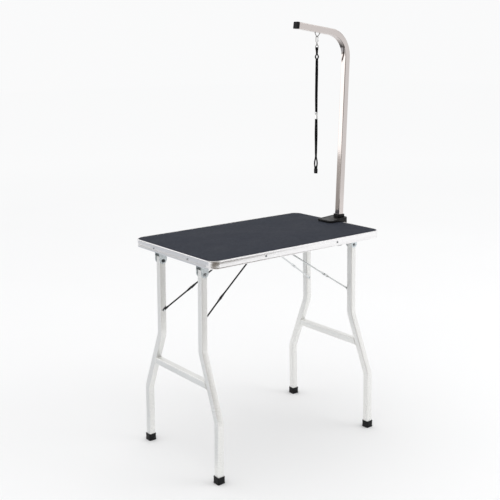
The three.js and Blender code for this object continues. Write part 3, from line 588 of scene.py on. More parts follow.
def arm_material():
    """Polished stainless, with painted shade on the inner wall of its bend: a painted dark reflection, and a
    dark streak drawn across it.
    """
    s = brushed("polished_arm", (0.64, 0.59, 0.57), 0.09, True, (3, 700, 700), (0.60, 0.55, 0.53), 0.035)
    along, inwards, across = s.split_flow()
    inner_wall = s.span(inwards, -0.0088, -0.0096, 0, 1)
    # painted shade: a dark reflection painted on the inner wall of the bend, with a dark streak drawn across
    # it
    shade = s.math("MULTIPLY", s.span(along, 0.852, 0.806, 0, 1), s.span(along, 0.797, 0.803, 0, 1))
    middle = s.span(along, 0.742, 0.806, 0.0074, -0.0091)
    away = s.math("ABSOLUTE", s.math("SUBTRACT", across, middle))
    line = s.math("MULTIPLY", s.span(away, 0.0052, 0.0027, 0, 1), s.span(along, 0.736, 0.748, 0, 1))
    line = s.math("MULTIPLY", line, s.span(along, 0.816, 0.806, 0, 1))
    painted_shade_and_streak = s.math("MULTIPLY", s.math("MAXIMUM", s.math("MULTIPLY", shade, 0.85), line), inner_wall)
    clean = s.bsdf.inputs["Base Color"].links[0].from_socket
    s.color(s.mix(painted_shade_and_streak, clean, (0.030, 0.021, 0.016)))
    return s.material


def powder_coat_material():
    s = Shader("silver_powder_coat", (0.84, 0.84, 0.82), 0.30, metallic=0.6)
    s.bsdf.inputs["Coat Weight"].default_value = 0.1
    s.bsdf.inputs["Coat Roughness"].default_value = 0.3
    peel = s.noise(700, 2, 0.5)
    flake = s.noise(2600, 1, 0.5)
    cloud = s.noise(5, 3)
    base = s.patches(cloud, [(0.35, 0.0), (0.65, 1.0)], (0.82, 0.82, 0.80), (0.87, 0.87, 0.85))
    s.color(s.patches(flake, [(0.55, 0.0), (0.8, 0.35)], base, (0.93, 0.93, 0.92)))
    s.roughness(s.ramp(peel, [(0.3, 0.24), (0.7, 0.36)]))
    s.bump(peel, 0.22, 0.0002)
    return s.material


def zinc_material(name="zinc_plate", color=(0.66, 0.71, 0.73), roughness=0.34):
    s = Shader(name, color, roughness, metallic=0.9)
    cells = s.cells("F1", 260)
    cloud = s.noise(40, 4)
    pale = tuple(min(1.0, c * 1.12) for c in color)
    warm = (color[0] * 1.02, color[1] * 0.97, color[2] * 0.86)
    spangle = s.mix(s.ramp(cells.outputs["Color"], [(0.2, 0.0), (0.9, 0.5)]), color, pale)
    s.color(s.patches(cloud, [(0.55, 0.0), (0.8, 0.6)], spangle, warm))
    s.roughness(s.ramp(cloud, [(0.3, roughness - 0.08), (0.75, roughness + 0.12)]))
    s.bump(cloud, 0.08, 0.0001)
    return s.material


def plastic_material(name, color, roughness, grain=900, strength=0.3, specular=0.3):
    s = Shader(name, color, roughness, specular=specular)
    fine = s.noise(grain, 3, 0.6)
    cloud = s.noise(30, 3)
    scuff = s.noise(18, 6, 0.7, s.place((1, 1, 3)))
    light = tuple(c * 1.7 + 0.006 for c in color)
    s.color(s.patches(scuff, [(0.58, 0.0), (0.8, 0.7)], color, light))
    s.roughness(s.ramp(cloud, [(0.3, roughness - 0.06), (0.7, roughness + 0.1)]))
    s.bump(fine, strength, 0.00015)
    return s.material


def webbing_material():
    """Plain weave: ribs across the strap, crossed by the selvedge's lengthwise yarns."""
    s = Shader("black_webbing", (0.004, 0.004, 0.005), 0.9, specular=0.08)
    s.bsdf.inputs["Sheen Weight"].default_value = 0.02
    s.bsdf.inputs["Sheen Roughness"].default_value = 0.5
    along, across, _ = s.split_flow()
    pick = s.math("SINE", s.math("MULTIPLY", along, 2 * math.pi / 0.0013))
    yarn = s.math("SINE", s.math("MULTIPLY", across, 2 * math.pi / 0.0011))
    weave = s.math("MULTIPLY", pick, yarn)
    level = s.math("MULTIPLY_ADD", weave, 0.5)
    level.node.inputs[2].default_value = 0.5
    fuzz = s.noise(2500, 2)
    s.color(s.patches(level, [(0.2, 0.0), (0.9, 1.0)], (0.0015, 0.0015, 0.002), (0.007, 0.007, 0.008)))
    first = s.bump(level, 0.45, 0.0002)
    s.bump(fuzz, 0.3, 0.0001, first)
    return s.material


def floor_material():
    s = Shader("studio_floor", (0.93, 0.93, 0.93), 0.9, specular=0.0)
    reach = s.node("ShaderNodeVectorMath", operation="LENGTH")
    s.link(s.place(), reach.inputs[0])
    far = s.span(reach.outputs["Value"], 1.0, 9.0, 0, 1)
    cloud = s.noise(0.7, 2)
    near = s.patches(cloud, [(0.3, 0.0), (0.7, 1.0)], (0.915, 0.915, 0.917), (0.930, 0.930, 0.931))
    s.color(s.mix(far, near, (0.995, 0.995, 0.995)))
    return s.material


MAT_RUBBER = rubber_mat_material()
BOARD = board_material()
BAND = brushed("satin_band", (0.91, 0.90, 0.905), 0.22, False, (2.5, 2.5, 1500),
               (0.87, 0.86, 0.865), 0.05).material
ARM = arm_material()
# The left braces use the same drawn rod painted near-black: a painted dark reflection of the board's
# underside. The right braces keep the rod's own colour.
ROD = {"left": brushed("drawn_rod_painted_dark_reflection", (0.065, 0.065, 0.068), 0.2, True, (4, 900, 900)).material,
       "right": brushed("bright_drawn_rod", (0.74, 0.76, 0.765), 0.2, True, (4, 900, 900)).material}
COAT = powder_coat_material()
ZINC = zinc_material()
SCREW_STEEL = zinc_material("screw_steel", (0.42, 0.44, 0.46), 0.3)
# Dark steel for the lock nuts, also used as painted shade in the left bolts' sockets.
DARK_STEEL_AND_SOCKET_SHADE = zinc_material("dark_bolt_and_socket_shade", (0.07, 0.075, 0.08), 0.38)
NICKEL = zinc_material("bright_nickel", (0.74, 0.75, 0.75), 0.18)
HOOK_STEEL = zinc_material("plated_hook", (0.40, 0.40, 0.39), 0.16)
RUBBER_BLACK = plastic_material("black_rubber", (0.005, 0.005, 0.006), 0.5, specular=0.22)
CLAMP_BLACK = plastic_material("black_nylon", (0.006, 0.006, 0.007), 0.38, 500, 0.15, 0.2)
KNOB_BLACK = plastic_material("black_knob", (0.005, 0.005, 0.006), 0.45, specular=0.15)
WEBBING = webbing_material()


# ---- noose: the free cords come first --------------------------------------------------------

HOOK_WIRE = 0.0015  # radius
hook_low, hook_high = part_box("snap_hook")
NOOSE_X = (hook_low.x + hook_high.x) / 2
TETHER_ROUTE = [(0, 1.5040), (0.0006, 1.4700), (0.0002, 1.4000), (-0.0005, 1.3300), (0, 1.2633)]
LOOP_ROUTE = [(0.0015, 1.2357), (0.0015, 1.1800), (0.0014, 1.1000), (0.0024, 1.0840), (0.0060, 1.0700),
              (0.0066, 1.0580), (0.0040, 1.0470), (0.0026, 1.0413)]
OPEN_TURN = math.radians(73)  # width direction of the strap, from +X, where a loop stands open


def noose_point(offset, height):
    return Vector((NOOSE_X + offset, MAST_Y, height))


def length_of(path):
    return sum((b - a).length for a, b in zip(path, path[1:]))


def between(x, table):
    """Value at x in a list of (x, value) with falling x, eased between its rows."""
    if x >= table[0][0]:
        return table[0][1]
    for (x0, v0), (x1, v1) in zip(table, table[1:]):
        if x >= x1:
            t = (x0 - x) / (x0 - x1)
            return v0 + (v1 - v0) * t * t * (3 - 2 * t)
    return table[-1][1]


def ribbon(path, turn, width=WEBBING_WIDTH, thickness=WEBBING_THICKNESS):
    """A flat strap along a path; turn(height) is the angle of its width direction from +X."""
    section = rounded_rectangle(width / 2, thickness / 2, thickness * 0.48, 3)
    rings, flows = [], []
    distance = 0
    for i, here in enumerate(path):
        tangent = (path[min(i + 1, len(path) - 1)] - path[max(i - 1, 0)]).normalized()
        angle = turn(here.z)
        across = Vector((math.cos(angle), math.sin(angle), 0))
        across = (across - tangent * across.dot(tangent)).normalized()
        through = tangent.cross(across)
        rings.append([here + across * a + through * b for a, b in section])
        flows.append([Vector((distance, a, b)) for a, b in section])
        if i < len(path) - 1:
            distance += (path[i + 1] - here).length
    return loft(rings, flows)


def make_tether(slider):
    """A doubled strap: folded through the eye, crossed over, open in a small loop, then flat together."""
    route = smooth_route([noose_point(*p) for p in TETHER_ROUTE], 24)
    gap = [(1.504, 0.0021), (1.492, 0.0011), (1.486, 0.0012), (1.475, 0.0062), (1.461, 0.0012),
           (1.417, 0.0012), (1.409, 0.0019), (1.398, 0.0011), (1.263, 0.0010)]
    turn = [(1.504, math.radians(90)), (1.492, math.radians(82)), (1.484, OPEN_TURN), (1.470, OPEN_TURN),
            (1.455, math.radians(104)), (1.400, math.radians(118)), (1.330, math.radians(108)),
            (1.263, math.radians(94))]

    def angle(height):
        return between(height, turn)

    parts = []
    for sign in (-1, 1):
        strand = []
        for here in route:
            half = between(here.z, gap) * sign
            strand.append(here + Vector((math.sin(angle(here.z)), -math.cos(angle(here.z)), 0)) * half)
        parts.append(ribbon(strand, angle, WEBBING_WIDTH * 0.97))
    tether = piece("noose_tether_strap", parts, WEBBING, "noose", ["noose_tether"])
    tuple(route[0])
    length_of(route)


def make_loop(name, sign, stop):
    """One run of the hanging loop, from the slider to the stop, turned edge-on where the loop opens."""
    route = smooth_route([noose_point(sign * x, z) for x, z in LOOP_ROUTE], 12)
    turn = [(1.236, math.radians(92)), (1.180, math.radians(104)), (1.110, math.radians(86)),
            (1.088, OPEN_TURN), (1.055, OPEN_TURN), (1.044, math.radians(84)), (1.040, math.radians(90))]
    parts = [ribbon(route, lambda z: between(z, turn))]
    strap = piece(name + "_strap", parts, WEBBING, "noose", [name])
    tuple(route[0])
    length_of(route)


def make_noose_fittings():
    """The metal slider that closes the loop, and the moulded stop that holds its end."""
    centre, half_x, half_y, low_z, high_z = plan("noose_slider")
    height = high_z - low_z
    lower = [(0, 0.0010), (0.0006, 0.0003), (0.0018, 0), (0.0040, 0), (0.0050, 0.0007), (0.0062, 0.0009)]
    levels = lower + [(height - z, inset) for z, inset in reversed(lower)]
    levels = [(low_z + z, inset) for z, inset in levels]
    slider = stack(levels, shrinking(half_x, half_y, 0.0036), centre)
    slider = piece("noose_slider_barrel", [slider], NICKEL, "noose", ["noose_slider"])

    centre, half_x, half_y, low_z, high_z = plan("noose_stop")
    levels = round_edges(low_z, low_z + 0.0042, 0.0009) + round_edges(low_z + 0.0052, high_z, 0.0009)
    stop = stack(levels, shrinking(half_x, half_y, 0.002), centre)
    stop = piece("noose_stop_block", [stop], KNOB_BLACK, "noose", ["noose_stop"])
    return slider, stop


def make_fold():
    """The strap's fold round the lower bar of the hook's eye."""
    bar = Vector((NOOSE_X, MAST_Y, hook_low.z + HOOK_WIRE))
    reach = HOOK_WIRE + 0.0003 + WEBBING_THICKNESS / 2
    path = [bar + Vector((-reach, 0, -0.0062)), bar + Vector((-reach, 0, -0.003))]
    path += [bar + Vector((x, 0, z)) for x, z in arc(reach, math.pi, -math.pi, 12)]
    path += [bar + Vector((reach, 0, -0.003)), bar + Vector((reach, 0, -0.0062))]
    section = rounded_rectangle(WEBBING_THICKNESS / 2, WEBBING_WIDTH / 2, WEBBING_THICKNESS * 0.48, 3)
    piece("noose_tether_fold", [sweep(path, section, Y_AXIS)], WEBBING, "noose")


def make_stitches():
    """Two rows of thread across each sewn end of the straps."""
    stitch = lathe([(0, -0.0011), (0.00022, -0.0009), (0.0003, 0), (0.00022, 0.0009), (0, 0.0011)], 8)
    parts = []
    for height in (1.4985, 1.2690, 1.2290):
        for row in (0, 0.003):
            for column in range(-2, 3):
                for side in (-1, 1):
                    spot = noose_point(side * 0.0024, height - row) + Vector((0, column * 0.0021, 0))
                    parts.append(move(stitch, facing(Y_AXIS, spot)))
    piece("noose_stitches", parts, KNOB_BLACK, "noose")


slider_piece, stop_piece = make_noose_fittings()
make_tether(slider_piece)
make_loop("noose_loop_left", -1, stop_piece)
make_loop("noose_loop_right", 1, stop_piece)
make_fold()
make_stitches()


# ---- table top -------------------------------------------------------------------------------

def top_outline(inset, steps=16):
    """The outline of the band's outer face, moved inwards."""
    _, half_x, half_y, _, _ = plan("edge_band")
    points = rounded_rectangle(half_x - inset, half_y - inset, BAND_CORNER - inset, steps)
    return [(TABLE_X + x, y) for x, y in points]


def make_band():
    """A strip bent round the board: rolled lip on top, softened lower edge, and a butt joint at the back."""
    low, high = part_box("edge_band")
    top = high.z
    profile = [(0.0015, low.z + 0.0002), (0.0012, low.z), (0.0004, low.z), (0, low.z + 0.0006)]
    profile += [(0, low.z + 0.006), (0.0002, low.z + 0.0075), (0.0002, top - 0.0075), (0, top - 0.006)]
    lip = 0.00185
    for step in range(9):
        angle = math.pi * step / 8
        profile.append((lip * (1 - math.cos(angle)), top - 0.0016 + 0.0016 * math.sin(angle)))
    profile += [(2 * lip, top - 0.0034), (0.0015, top - 0.0036), (0.0015, low.z + 0.002)]
    rings = []
    outlines = [top_outline(inset) for inset, _ in profile]
    for i in range(len(outlines[0])):
        rings.append([Vector((*outlines[k][i], profile[k][1])) for k in range(len(profile))])
    # The long back side starts and ends the strip, with a hair of space between its two ends.
    back = [i for i, ring in enumerate(rings) if ring[4].y > high.y - 1e-4]
    first = back[-1]
    rings = rings[first:] + rings[:first]
    seam = [[], []]
    for k, (inset, z) in enumerate(profile):
        y = high.y - inset
        seam[0].append(Vector((TABLE_X - 0.0002, y, z)))
        seam[1].append(Vector((TABLE_X + 0.0002, y, z)))
    ordered = [seam[0]] + rings + [seam[1]]
    dense = []
    for a, b in zip(ordered, ordered[1:]):
        pieces = max(1, math.ceil((b[4] - a[4]).length / 0.05))
        dense += [[p.lerp(q, i / pieces) for p, q in zip(a, b)] for i in range(pieces)]
    dense.append(ordered[-1])
    strip = loft([ring[::-1] for ring in dense])
    piece("edge_band_strip", [strip], BAND, "table_top", ["edge_band"], 50)


def make_mat():
    _, half_x, half_y, low_z, high_z = plan("rubber_mat")
    corner = BAND_CORNER - 0.004

    def outline(inset):
        return rounded_rectangle(half_x - inset, half_y - inset, corner - inset, 14)

    levels = [(low_z, 0), (high_z - 0.0007, 0), (high_z - 0.0003, 0.0002), (high_z, 0.0007), (high_z, 0.02)]
    sheet = stack(levels, outline, (TABLE_X, 0))
    piece("rubber_mat_sheet", [sheet], MAT_RUBBER, "table_top", ["rubber_mat"])


def make_band_screws():
    for end, end_sign in ENDS.items():
        for side, side_sign in SIDES.items():
            for name, direction in ((f"band_screw_{side}_{end}", Y_AXIS * side_sign),
                                    (f"band_screw_{end}_{side}", X_AXIS * end_sign)):
                low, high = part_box(name)
                middle = (low + high) / 2
                reach = max((high - middle).dot(direction), (low - middle).dot(direction))
                base = middle + direction * (reach - 0.0018)
                head = move(cross_head(0.004, 0.0018), facing(direction, base))
                piece(name + "_head", [head], SCREW_STEEL, "table_top", [name], 30)


def make_board():
    board = frame["nodes"]["tabletop_board"]
    board.data.materials.clear()
    board.data.materials.append(BOARD)


make_band()
make_mat()
make_band_screws()
make_board()


# ---- legs ------------------------------------------------------------------------------------

def leg_line(end, side):
    """x at the leg's top and foot, y at its top and foot, and its two heights."""
    low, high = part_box(f"leg_{end}_{side}")
    half = TUBE / 2
    xs = (high.x - half, low.x + half) if end == "left" else (low.x + half, high.x - half)
    ys = (high.y - half, low.y + half) if side == "front" else (low.y + half, high.y - half)
    return xs, ys, (high.z, low.z)


def leg_x(end, height):
    xs, _, zs = leg_line(end, "front")
    return xs[0] + (xs[1] - xs[0]) * (zs[0] - height) / (zs[0] - zs[1])


def leg_y(height):
    """Distance of the legs' middle from the table's middle, on the sloping stretch."""
    _, ys, _ = leg_line("left", "back")
    share = (UPPER_BEND_Z - height) / (UPPER_BEND_Z - LOWER_BEND_Z)
    return ys[0] + (ys[1] - ys[0]) * share


def make_leg(end, side):
    _, ys, zs = leg_line(end, side)
    heights = ((zs[0], ys[0]), (UPPER_BEND_Z, ys[0]), (LOWER_BEND_Z, ys[1]), (zs[1], ys[1]))
    corners = [Vector((leg_x(end, z), y, z)) for z, y in heights]
    path = subdivide(fillet(corners, LEG_BEND_RADIUS, 14), 0.06)
    half = TUBE / 2
    outer = rounded_rectangle(half, half, TUBE_CORNER)
    inner = rounded_rectangle(half - TUBE_WALL, half - TUBE_WALL, TUBE_CORNER - TUBE_WALL)
    normal = (corners[1] - corners[0]).cross(corners[2] - corners[1])
    tube = pipe(path, outer, inner, normal)
    node = f"leg_{end}_{side}"
    piece(node + "_tube", [tube], COAT, f"{end}_leg_frame", [node])


def make_crossbar(end):
    """A square tube between the legs, cut to their slope and welded all round at both ends."""
    low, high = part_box(f"crossbar_{end}")
    middle_z = (low.z + high.z) / 2
    slope = (leg_y(LOWER_BEND_Z) - leg_y(UPPER_BEND_Z)) / (UPPER_BEND_Z - LOWER_BEND_Z)
    reach = TUBE / 2 * math.hypot(1, slope)
    outline = rounded_rectangle(TUBE / 2, TUBE / 2, TUBE_CORNER)
    rings = []
    for share in (-1, -0.9, -0.3, 0.3, 0.9, 1):
        ring = []
        for a, b in outline:
            z = middle_z + b
            ring.append(Vector((leg_x(end, z) + a, share * (leg_y(z) - reach + 0.0004), z)))
        rings.append(ring[::-1])
    flows = [[Vector((v.y, v.x, v.z)) for v in ring] for ring in rings]
    parts = [loft(rings, flows)]
    for ring in (rings[0], rings[-1]):
        # The bead sits a little in from the bar's end.
        inwards = Vector((0, -0.0012 if ring[0].y > 0 else 0.0012, 0))
        parts.append(weld_bead([v + inwards for v in ring], WELD_RADIUS))
    piece(f"crossbar_{end}_tube", parts, COAT, f"{end}_leg_frame", [f"crossbar_{end}"])


def make_boot(end, side):
    """A rubber boot with a flared sole, a bead at its mouth and shallow grip ribs."""
    node = f"foot_{end}_{side}"
    centre, half, _, low_z, high_z = plan(node)
    height = high_z - low_z
    levels = [(0.0000, 0.0016), (0.0004, 0.0007), (0.0016, 0.0), (0.0046, 0.0), (0.0056, 0.0006)]
    for rib in range(3):
        base = 0.0072 + 0.0042 * rib
        levels += [(base, 0.0007), (base + 0.0004, 0.0011), (base + 0.0014, 0.0011), (base + 0.0018, 0.0007)]
    levels += [(height - 0.0034, 0.0007), (height - 0.0028, 0.0002), (height - 0.0008, 0.0002),
               (height - 0.0002, 0.0006), (height, 0.0012), (height - 0.0001, half - TUBE / 2 - 0.0001)]

    def outline(inset):
        return rounded_rectangle(half - inset, half - inset, 0.0040 - inset * 0.5, 6)

    boot = stack([(low_z + z, inset) for z, inset in levels], outline, centre)
    piece(node + "_boot", [boot], RUBBER_BLACK, f"{end}_leg_frame", [node])


def make_link_rivet(end, side):
    node = f"link_rivet_{end}_{side}"
    low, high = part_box(node)
    inwards = -SIDES[side]
    base = Vector(((low.x + high.x) / 2, low.y if inwards < 0 else high.y, (low.z + high.z) / 2))
    base.y -= inwards * 0.0022
    radius = (high.x - low.x) / 2
    profile = [(0, -0.004), (0.003, -0.004), (0.003, 0), (radius, 0), (radius, 0.0006)]
    dome = [(radius * math.cos(a), 0.0006 + 0.0016 * math.sin(a)) for a in (0.4, 0.8, 1.2)]
    profile += dome + [(0, 0.0022)]
    rivet = move(lathe(profile, 24), facing((0, inwards, 0), base))
    piece(node + "_head", [rivet], ZINC, f"{end}_leg_frame", [node])


for end_name in ENDS:
    for side_name in SIDES:
        make_leg(end_name, side_name)
        make_boot(end_name, side_name)
        make_link_rivet(end_name, side_name)
    make_crossbar(end_name)


# ---- hinge brackets --------------------------------------------------------------------------

def ear_part(centre_x, top, bottom, half_width, y_low, y_high):
    """An upright plate with a round lower end and eased edges."""
    radius = half_width
    edge = 0.0004

    def outline(inset):
        lower_end = arc(radius - inset, math.pi, math.pi, 24)
        points = [(x, bottom + radius + z) for x, z in lower_end]
        return points + [(radius - inset, top), (-radius + inset, top)]

    levels = [(y_low, edge), (y_low + edge, 0), (y_high - edge, 0), (y_high, edge)]
    rings = [[Vector((centre_x + x, y, z)) for x, z in outline(inset)][::-1] for y, inset in levels]
    return loft(rings)


def make_bracket(end, side):
    node = f"hinge_bracket_{end}_{side}"
    low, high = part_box(node)
    middle = (low + high) / 2
    half_x = (high.x - low.x) / 2
    thickness = BRACKET_THICKNESS
    parts = [block((low.x, low.y, high.z - thickness), (high.x, high.y, high.z), 0.005, 0.0005)]
    for sign in (-1, 1):
        face = middle.y + sign * EAR_INNER_FACE
        outer = face + sign * thickness
        ear_sides = sorted((face, outer))
        parts.append(ear_part(middle.x, high.z - 0.0012, low.z, half_x, *ear_sides))
        bend = []
        for step in range(7):
            angle = math.pi / 2 * step / 6
            bend.append((sign * 0.003 * (1 - math.sin(angle)), -0.003 * (1 - math.cos(angle))))
        bend.append((0, 0))
        rings = []
        for x in (low.x + 0.0008, high.x - 0.0008):
            rings.append([Vector((x, outer + a, high.z - thickness + b)) for a, b in bend])
        if sign < 0:
            rings = [ring[::-1] for ring in rings]
        parts.append(loft(rings))
    piece(node + "_plate", parts, ZINC, "table_top", [node])
    screws = screws_from_below(middle.x, middle.y, high.z - thickness, 0.0095, 0.0235, 0.0036, 0.0016)
    piece(f"hinge_screws_{end}_{side}", screws, SCREW_STEEL, "table_top")


def make_hinge_bolt(end, side):
    """Button head with a washer outside, dark lock nut inside."""
    node = f"hinge_bolt_{end}_{side}"
    low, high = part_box(node)
    middle = (low + high) / 2
    outwards = SIDES[side]
    reach = EAR_INNER_FACE + BRACKET_THICKNESS
    washer_height = 0.0009
    washer = [(0, 0), (0.0068, 0), (0.0068, washer_height), (0, washer_height)]
    head_base = Vector((middle.x, middle.y + outwards * reach, middle.z))
    nut_base = Vector((middle.x, middle.y - outwards * reach, middle.z))
    head = facing((0, outwards, 0), head_base)
    on_washer = head @ Matrix.Translation((0, 0, washer_height))
    parts = [move(lathe(washer), head), move(bolt_head(0.0056, 0.0034), on_washer)]
    piece(node + "_head", parts, SCREW_STEEL, "table_top", [node])
    # On the left bolts the socket is filled dark: painted shade in the socket's recess.
    socket = lathe([(0, 0), (0.0027, 0), (0.0027, 0.0030), (0, 0.0030)], 6)
    piece(f"hinge_bolt_socket_{end}_{side}", [move(socket, on_washer)],
          DARK_STEEL_AND_SOCKET_SHADE if end == "left" else SCREW_STEEL, "table_top")
    nut = move(hexagon_nut(0.0064, 0.0042), facing((0, -outwards, 0), nut_base))
    piece(f"hinge_nut_{end}_{side}", [nut], DARK_STEEL_AND_SOCKET_SHADE, "table_top")


for end_name in ENDS:
    for side_name in SIDES:
        make_bracket(end_name, side_name)
        make_hinge_bolt(end_name, side_name)


# ---- braces ----------------------------------------------------------------------------------

def brace_pivots(end):
    """The rivet on the leg, the knee and the anchor line under the board, in the plane y = 0."""
    joints = {joint["name"]: Vector(joint["pos_m"]) for joint in frame["joints"] if "pos_m" in joint}
    foot = joints[f"{end}_link_front"].copy()
    anchor = joints[f"{end}_brace_fold"].copy()
    foot.y = anchor.y = 0
    along = (anchor - foot).normalized()
    knee = foot + along * LINK_LENGTH
    return foot, knee, anchor, along


def flattened_rod(path, normal):
    """A round rod whose ends are pressed into round-ended lugs."""
    total = length_of(path)

    def shape(distance, a, b):
        """a runs in the flat plane, b through the lug's thickness."""
        wide, thin = 1.0, 1.0
        for centre in (LUG_RADIUS, total - LUG_RADIUS):
            away = distance - centre if centre > total / 2 else centre - distance
            if away > 0:
                reach = math.sqrt(max(LUG_RADIUS ** 2 - away ** 2, 1e-8))
                wide, thin = reach / ROD_RADIUS, LUG_HALF_THICKNESS / ROD_RADIUS
            elif away > -LUG_REACH - LUG_TAPER:
                share = max(0.0, (-away - LUG_REACH) / LUG_TAPER)
                ease = share * share * (3 - 2 * share)
                wide = (LUG_RADIUS + (ROD_RADIUS - LUG_RADIUS) * ease) / ROD_RADIUS
                thin = (LUG_HALF_THICKNESS + (ROD_RADIUS - LUG_HALF_THICKNESS) * ease) / ROD_RADIUS
        return a * thin, b * wide

    return sweep(subdivide(path, 0.0011), circle(ROD_RADIUS, 16), normal, shape=shape)


def knee_button(centre, outwards, faces_y):
    profile = [(0, -0.0012), (0.003, -0.0012), (0.003, 0.0002), (0.0024, 0.0008), (0.0012, 0.0011),
               (0, 0.0012)]
    return move(lathe(profile, 24), facing((0, outwards, 0), Vector((centre.x, faces_y, centre.z))))


def make_lower_link(end, side):
    node = f"lower_link_{end}_{side}"
    low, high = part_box(node)
    sign = SIDES[side]
    foot, knee, _, along = brace_pivots(end)
    outer_y = max(abs(low.y), abs(high.y)) - LUG_HALF_THICKNESS
    inner_y = min(abs(low.y), abs(high.y)) + LUG_HALF_THICKNESS
    tip = LUG_RADIUS - LUG_TRIM
    corners = []
    for base, distance, y in ((foot, -tip, outer_y), (foot, KNEE_FLAT, outer_y),
                              (knee, -KNEE_FLAT, inner_y), (knee, tip, inner_y)):
        spot = base + along * distance
        corners.append(Vector((spot.x, sign * y, spot.z)))
    rod = flattened_rod(fillet(corners, KNEE_BEND_RADIUS, 6), along.cross(Y_AXIS))
    button = knee_button(knee, sign, sign * (inner_y + LUG_HALF_THICKNESS))
    piece(node + "_rod", [rod, button], ROD[end], f"{end}_lower_link_{side}", [node])


def make_upper_brace(end):
    node = f"upper_brace_{end}"
    _, knee, anchor, along = brace_pivots(end)
    knee_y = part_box(node)[1].y - LUG_HALF_THICKNESS
    base_y = 0.048
    corners = []
    for sign in (-1, 1):
        tip = knee - along * (LUG_RADIUS - LUG_TRIM)
        bend = knee + along * KNEE_FLAT
        arm = [Vector((tip.x, sign * knee_y, tip.z)), Vector((bend.x, sign * knee_y, bend.z)),
               Vector((anchor.x, sign * base_y, anchor.z))]
        corners += arm if sign < 0 else arm[::-1]
    radii = [KNEE_BEND_RADIUS, BRACE_CORNER_RADIUS, BRACE_CORNER_RADIUS, KNEE_BEND_RADIUS]
    parts = [flattened_rod(fillet(corners, radii, 10), along.cross(Y_AXIS))]
    for sign in (-1, 1):
        parts.append(knee_button(knee, -sign, sign * (knee_y - LUG_HALF_THICKNESS)))
    piece(node + "_rod", parts, ROD[end], f"{end}_upper_brace", [node])


def make_saddle(end):
    """A pressed strap over the brace's rod, with two screwed flanges against the board."""
    node = f"brace_saddle_{end}"
    low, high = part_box(node)
    middle = (low + high) / 2
    anchor = brace_pivots(end)[2]
    inner, wall = ROD_RADIUS + 0.0003, 0.0016
    top = high.z
    half = (high.x - low.x) / 2
    outer_side = [(x, anchor.z + z) for x, z in arc(inner + wall, math.pi, math.pi, 12)]
    inner_side = [(x, anchor.z + z) for x, z in arc(inner, 0, -math.pi, 12)]
    lower = [(-half, top - wall), (-inner - wall - 0.0005, top - wall)] + outer_side
    lower += [(inner + wall + 0.0005, top - wall), (half, top - wall)]
    upper = [(half, top), (inner + 0.0002, top)] + inner_side + [(-inner - 0.0002, top), (-half, top)]
    outline = lower + upper
    rings = [[Vector((middle.x + x, y, z)) for x, z in outline][::-1] for y in (low.y, high.y)]
    piece(node + "_strap", [loft(rings)], ZINC, "table_top", [node])
    screws = screws_from_below(middle.x, 0, top - wall, 0.0088, 0.012, 0.0030, 0.0014, 28, 8)
    piece(f"saddle_screws_{end}", screws, SCREW_STEEL, "table_top")


for end_name in ENDS:
    for side_name in SIDES:
        make_lower_link(end_name, side_name)
    make_upper_brace(end_name)
    make_saddle(end_name)


# ---- clamp -----------------------------------------------------------------------------------

ARM_FRAME = Matrix.Translation((MAST_X, MAST_Y, MAT_Z)) @ Matrix.Rotation(ARM_LEAN, 4, "Y")


def lobed_outline(radius, lobes):
    def outline(inset):
        points = []
        for step in range(lobes * 12):
            angle = 2 * math.pi * step / (lobes * 12)
            reach = (radius - inset) * (0.9 + 0.1 * math.cos(lobes * angle))
            points.append((reach * math.cos(angle), reach * math.sin(angle)))
        return points

    return outline


def knob_part(radius, height, lobes=5):
    """A lobed hand knob standing on z = 0, with a collar below its grip and a dished top."""
    grip = round_edges(0.0035, height, 0.0022)
    dish = [(height - 0.0001, radius * 0.35), (height - 0.0014, radius * 0.45)]
    top = stack(grip + dish, lobed_outline(radius, lobes))
    neck = radius * 0.6
    collar = lathe([(0, 0), (radius * 0.55, 0), (neck, 0.0006), (neck, 0.004), (0, 0.004)])
    return join_parts([top, collar])


def make_clamp_body():
    """Upper jaw with a shallow panel, spine outside the table's edge, lower jaw and gussets."""
    low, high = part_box("clamp_body")
    centre, half_x, half_y, _, _ = plan("clamp_body")
    jaw_bottom = MAT_Z + 0.0009

    def jaw_outline(inset):
        radius = max(0.008 - inset, 0.002)
        return rounded_rectangle(half_x - inset, half_y - inset, radius, 10, 0.017 - inset)

    jaw_top = high.z + 0.0012
    levels = round_edges(jaw_bottom, jaw_top, 0.0018)
    levels += [(jaw_top, 0.0052), (jaw_top - 0.0003, 0.0056), (jaw_top - 0.0008, 0.0060)]
    verts, faces, flow = stack(levels, jaw_outline, centre)
    for v in verts:
        if v.z > (jaw_bottom + jaw_top) / 2:
            v.z += JAW_RISE * (v.x - low.x) / (high.x - low.x)
    parts = [(verts, faces, flow)]
    spine_x = TABLE_X + 0.4075
    spine_centre = ((spine_x + high.x) / 2, centre[1])
    spine_half = (high.x - spine_x) / 2

    def spine_outline(inset):
        radius = max(0.0078 - inset, 0.001)
        return rounded_rectangle(spine_half - inset, half_y - inset, radius, 10, 0.0168 - inset)

    parts.append(stack(round_edges(low.z, high.z - 0.003, 0.0018), spine_outline, spine_centre))
    lower_top = low.z + 0.009
    lower_low = (low.x + 0.006, MAST_Y - 0.022, low.z)
    lower_high = (spine_x + 0.012, MAST_Y + 0.022, lower_top)
    parts.append(block(lower_low, lower_high, 0.008, 0.0016))
    for sign in (-1, 1):
        y = MAST_Y + sign * 0.018
        gusset = []
        for dy in (-0.0018, 0.0018):
            gusset.append([Vector((spine_x + 0.002, y + dy, lower_top - 0.001)),
                           Vector((spine_x - 0.016, y + dy, lower_top - 0.001)),
                           Vector((spine_x + 0.002, y + dy, lower_top + 0.020))])
        parts.append(loft([ring[::-1] for ring in gusset[::-1]]))
    piece("clamp_body_casting", parts, CLAMP_BLACK, "table_top", ["clamp_body"])


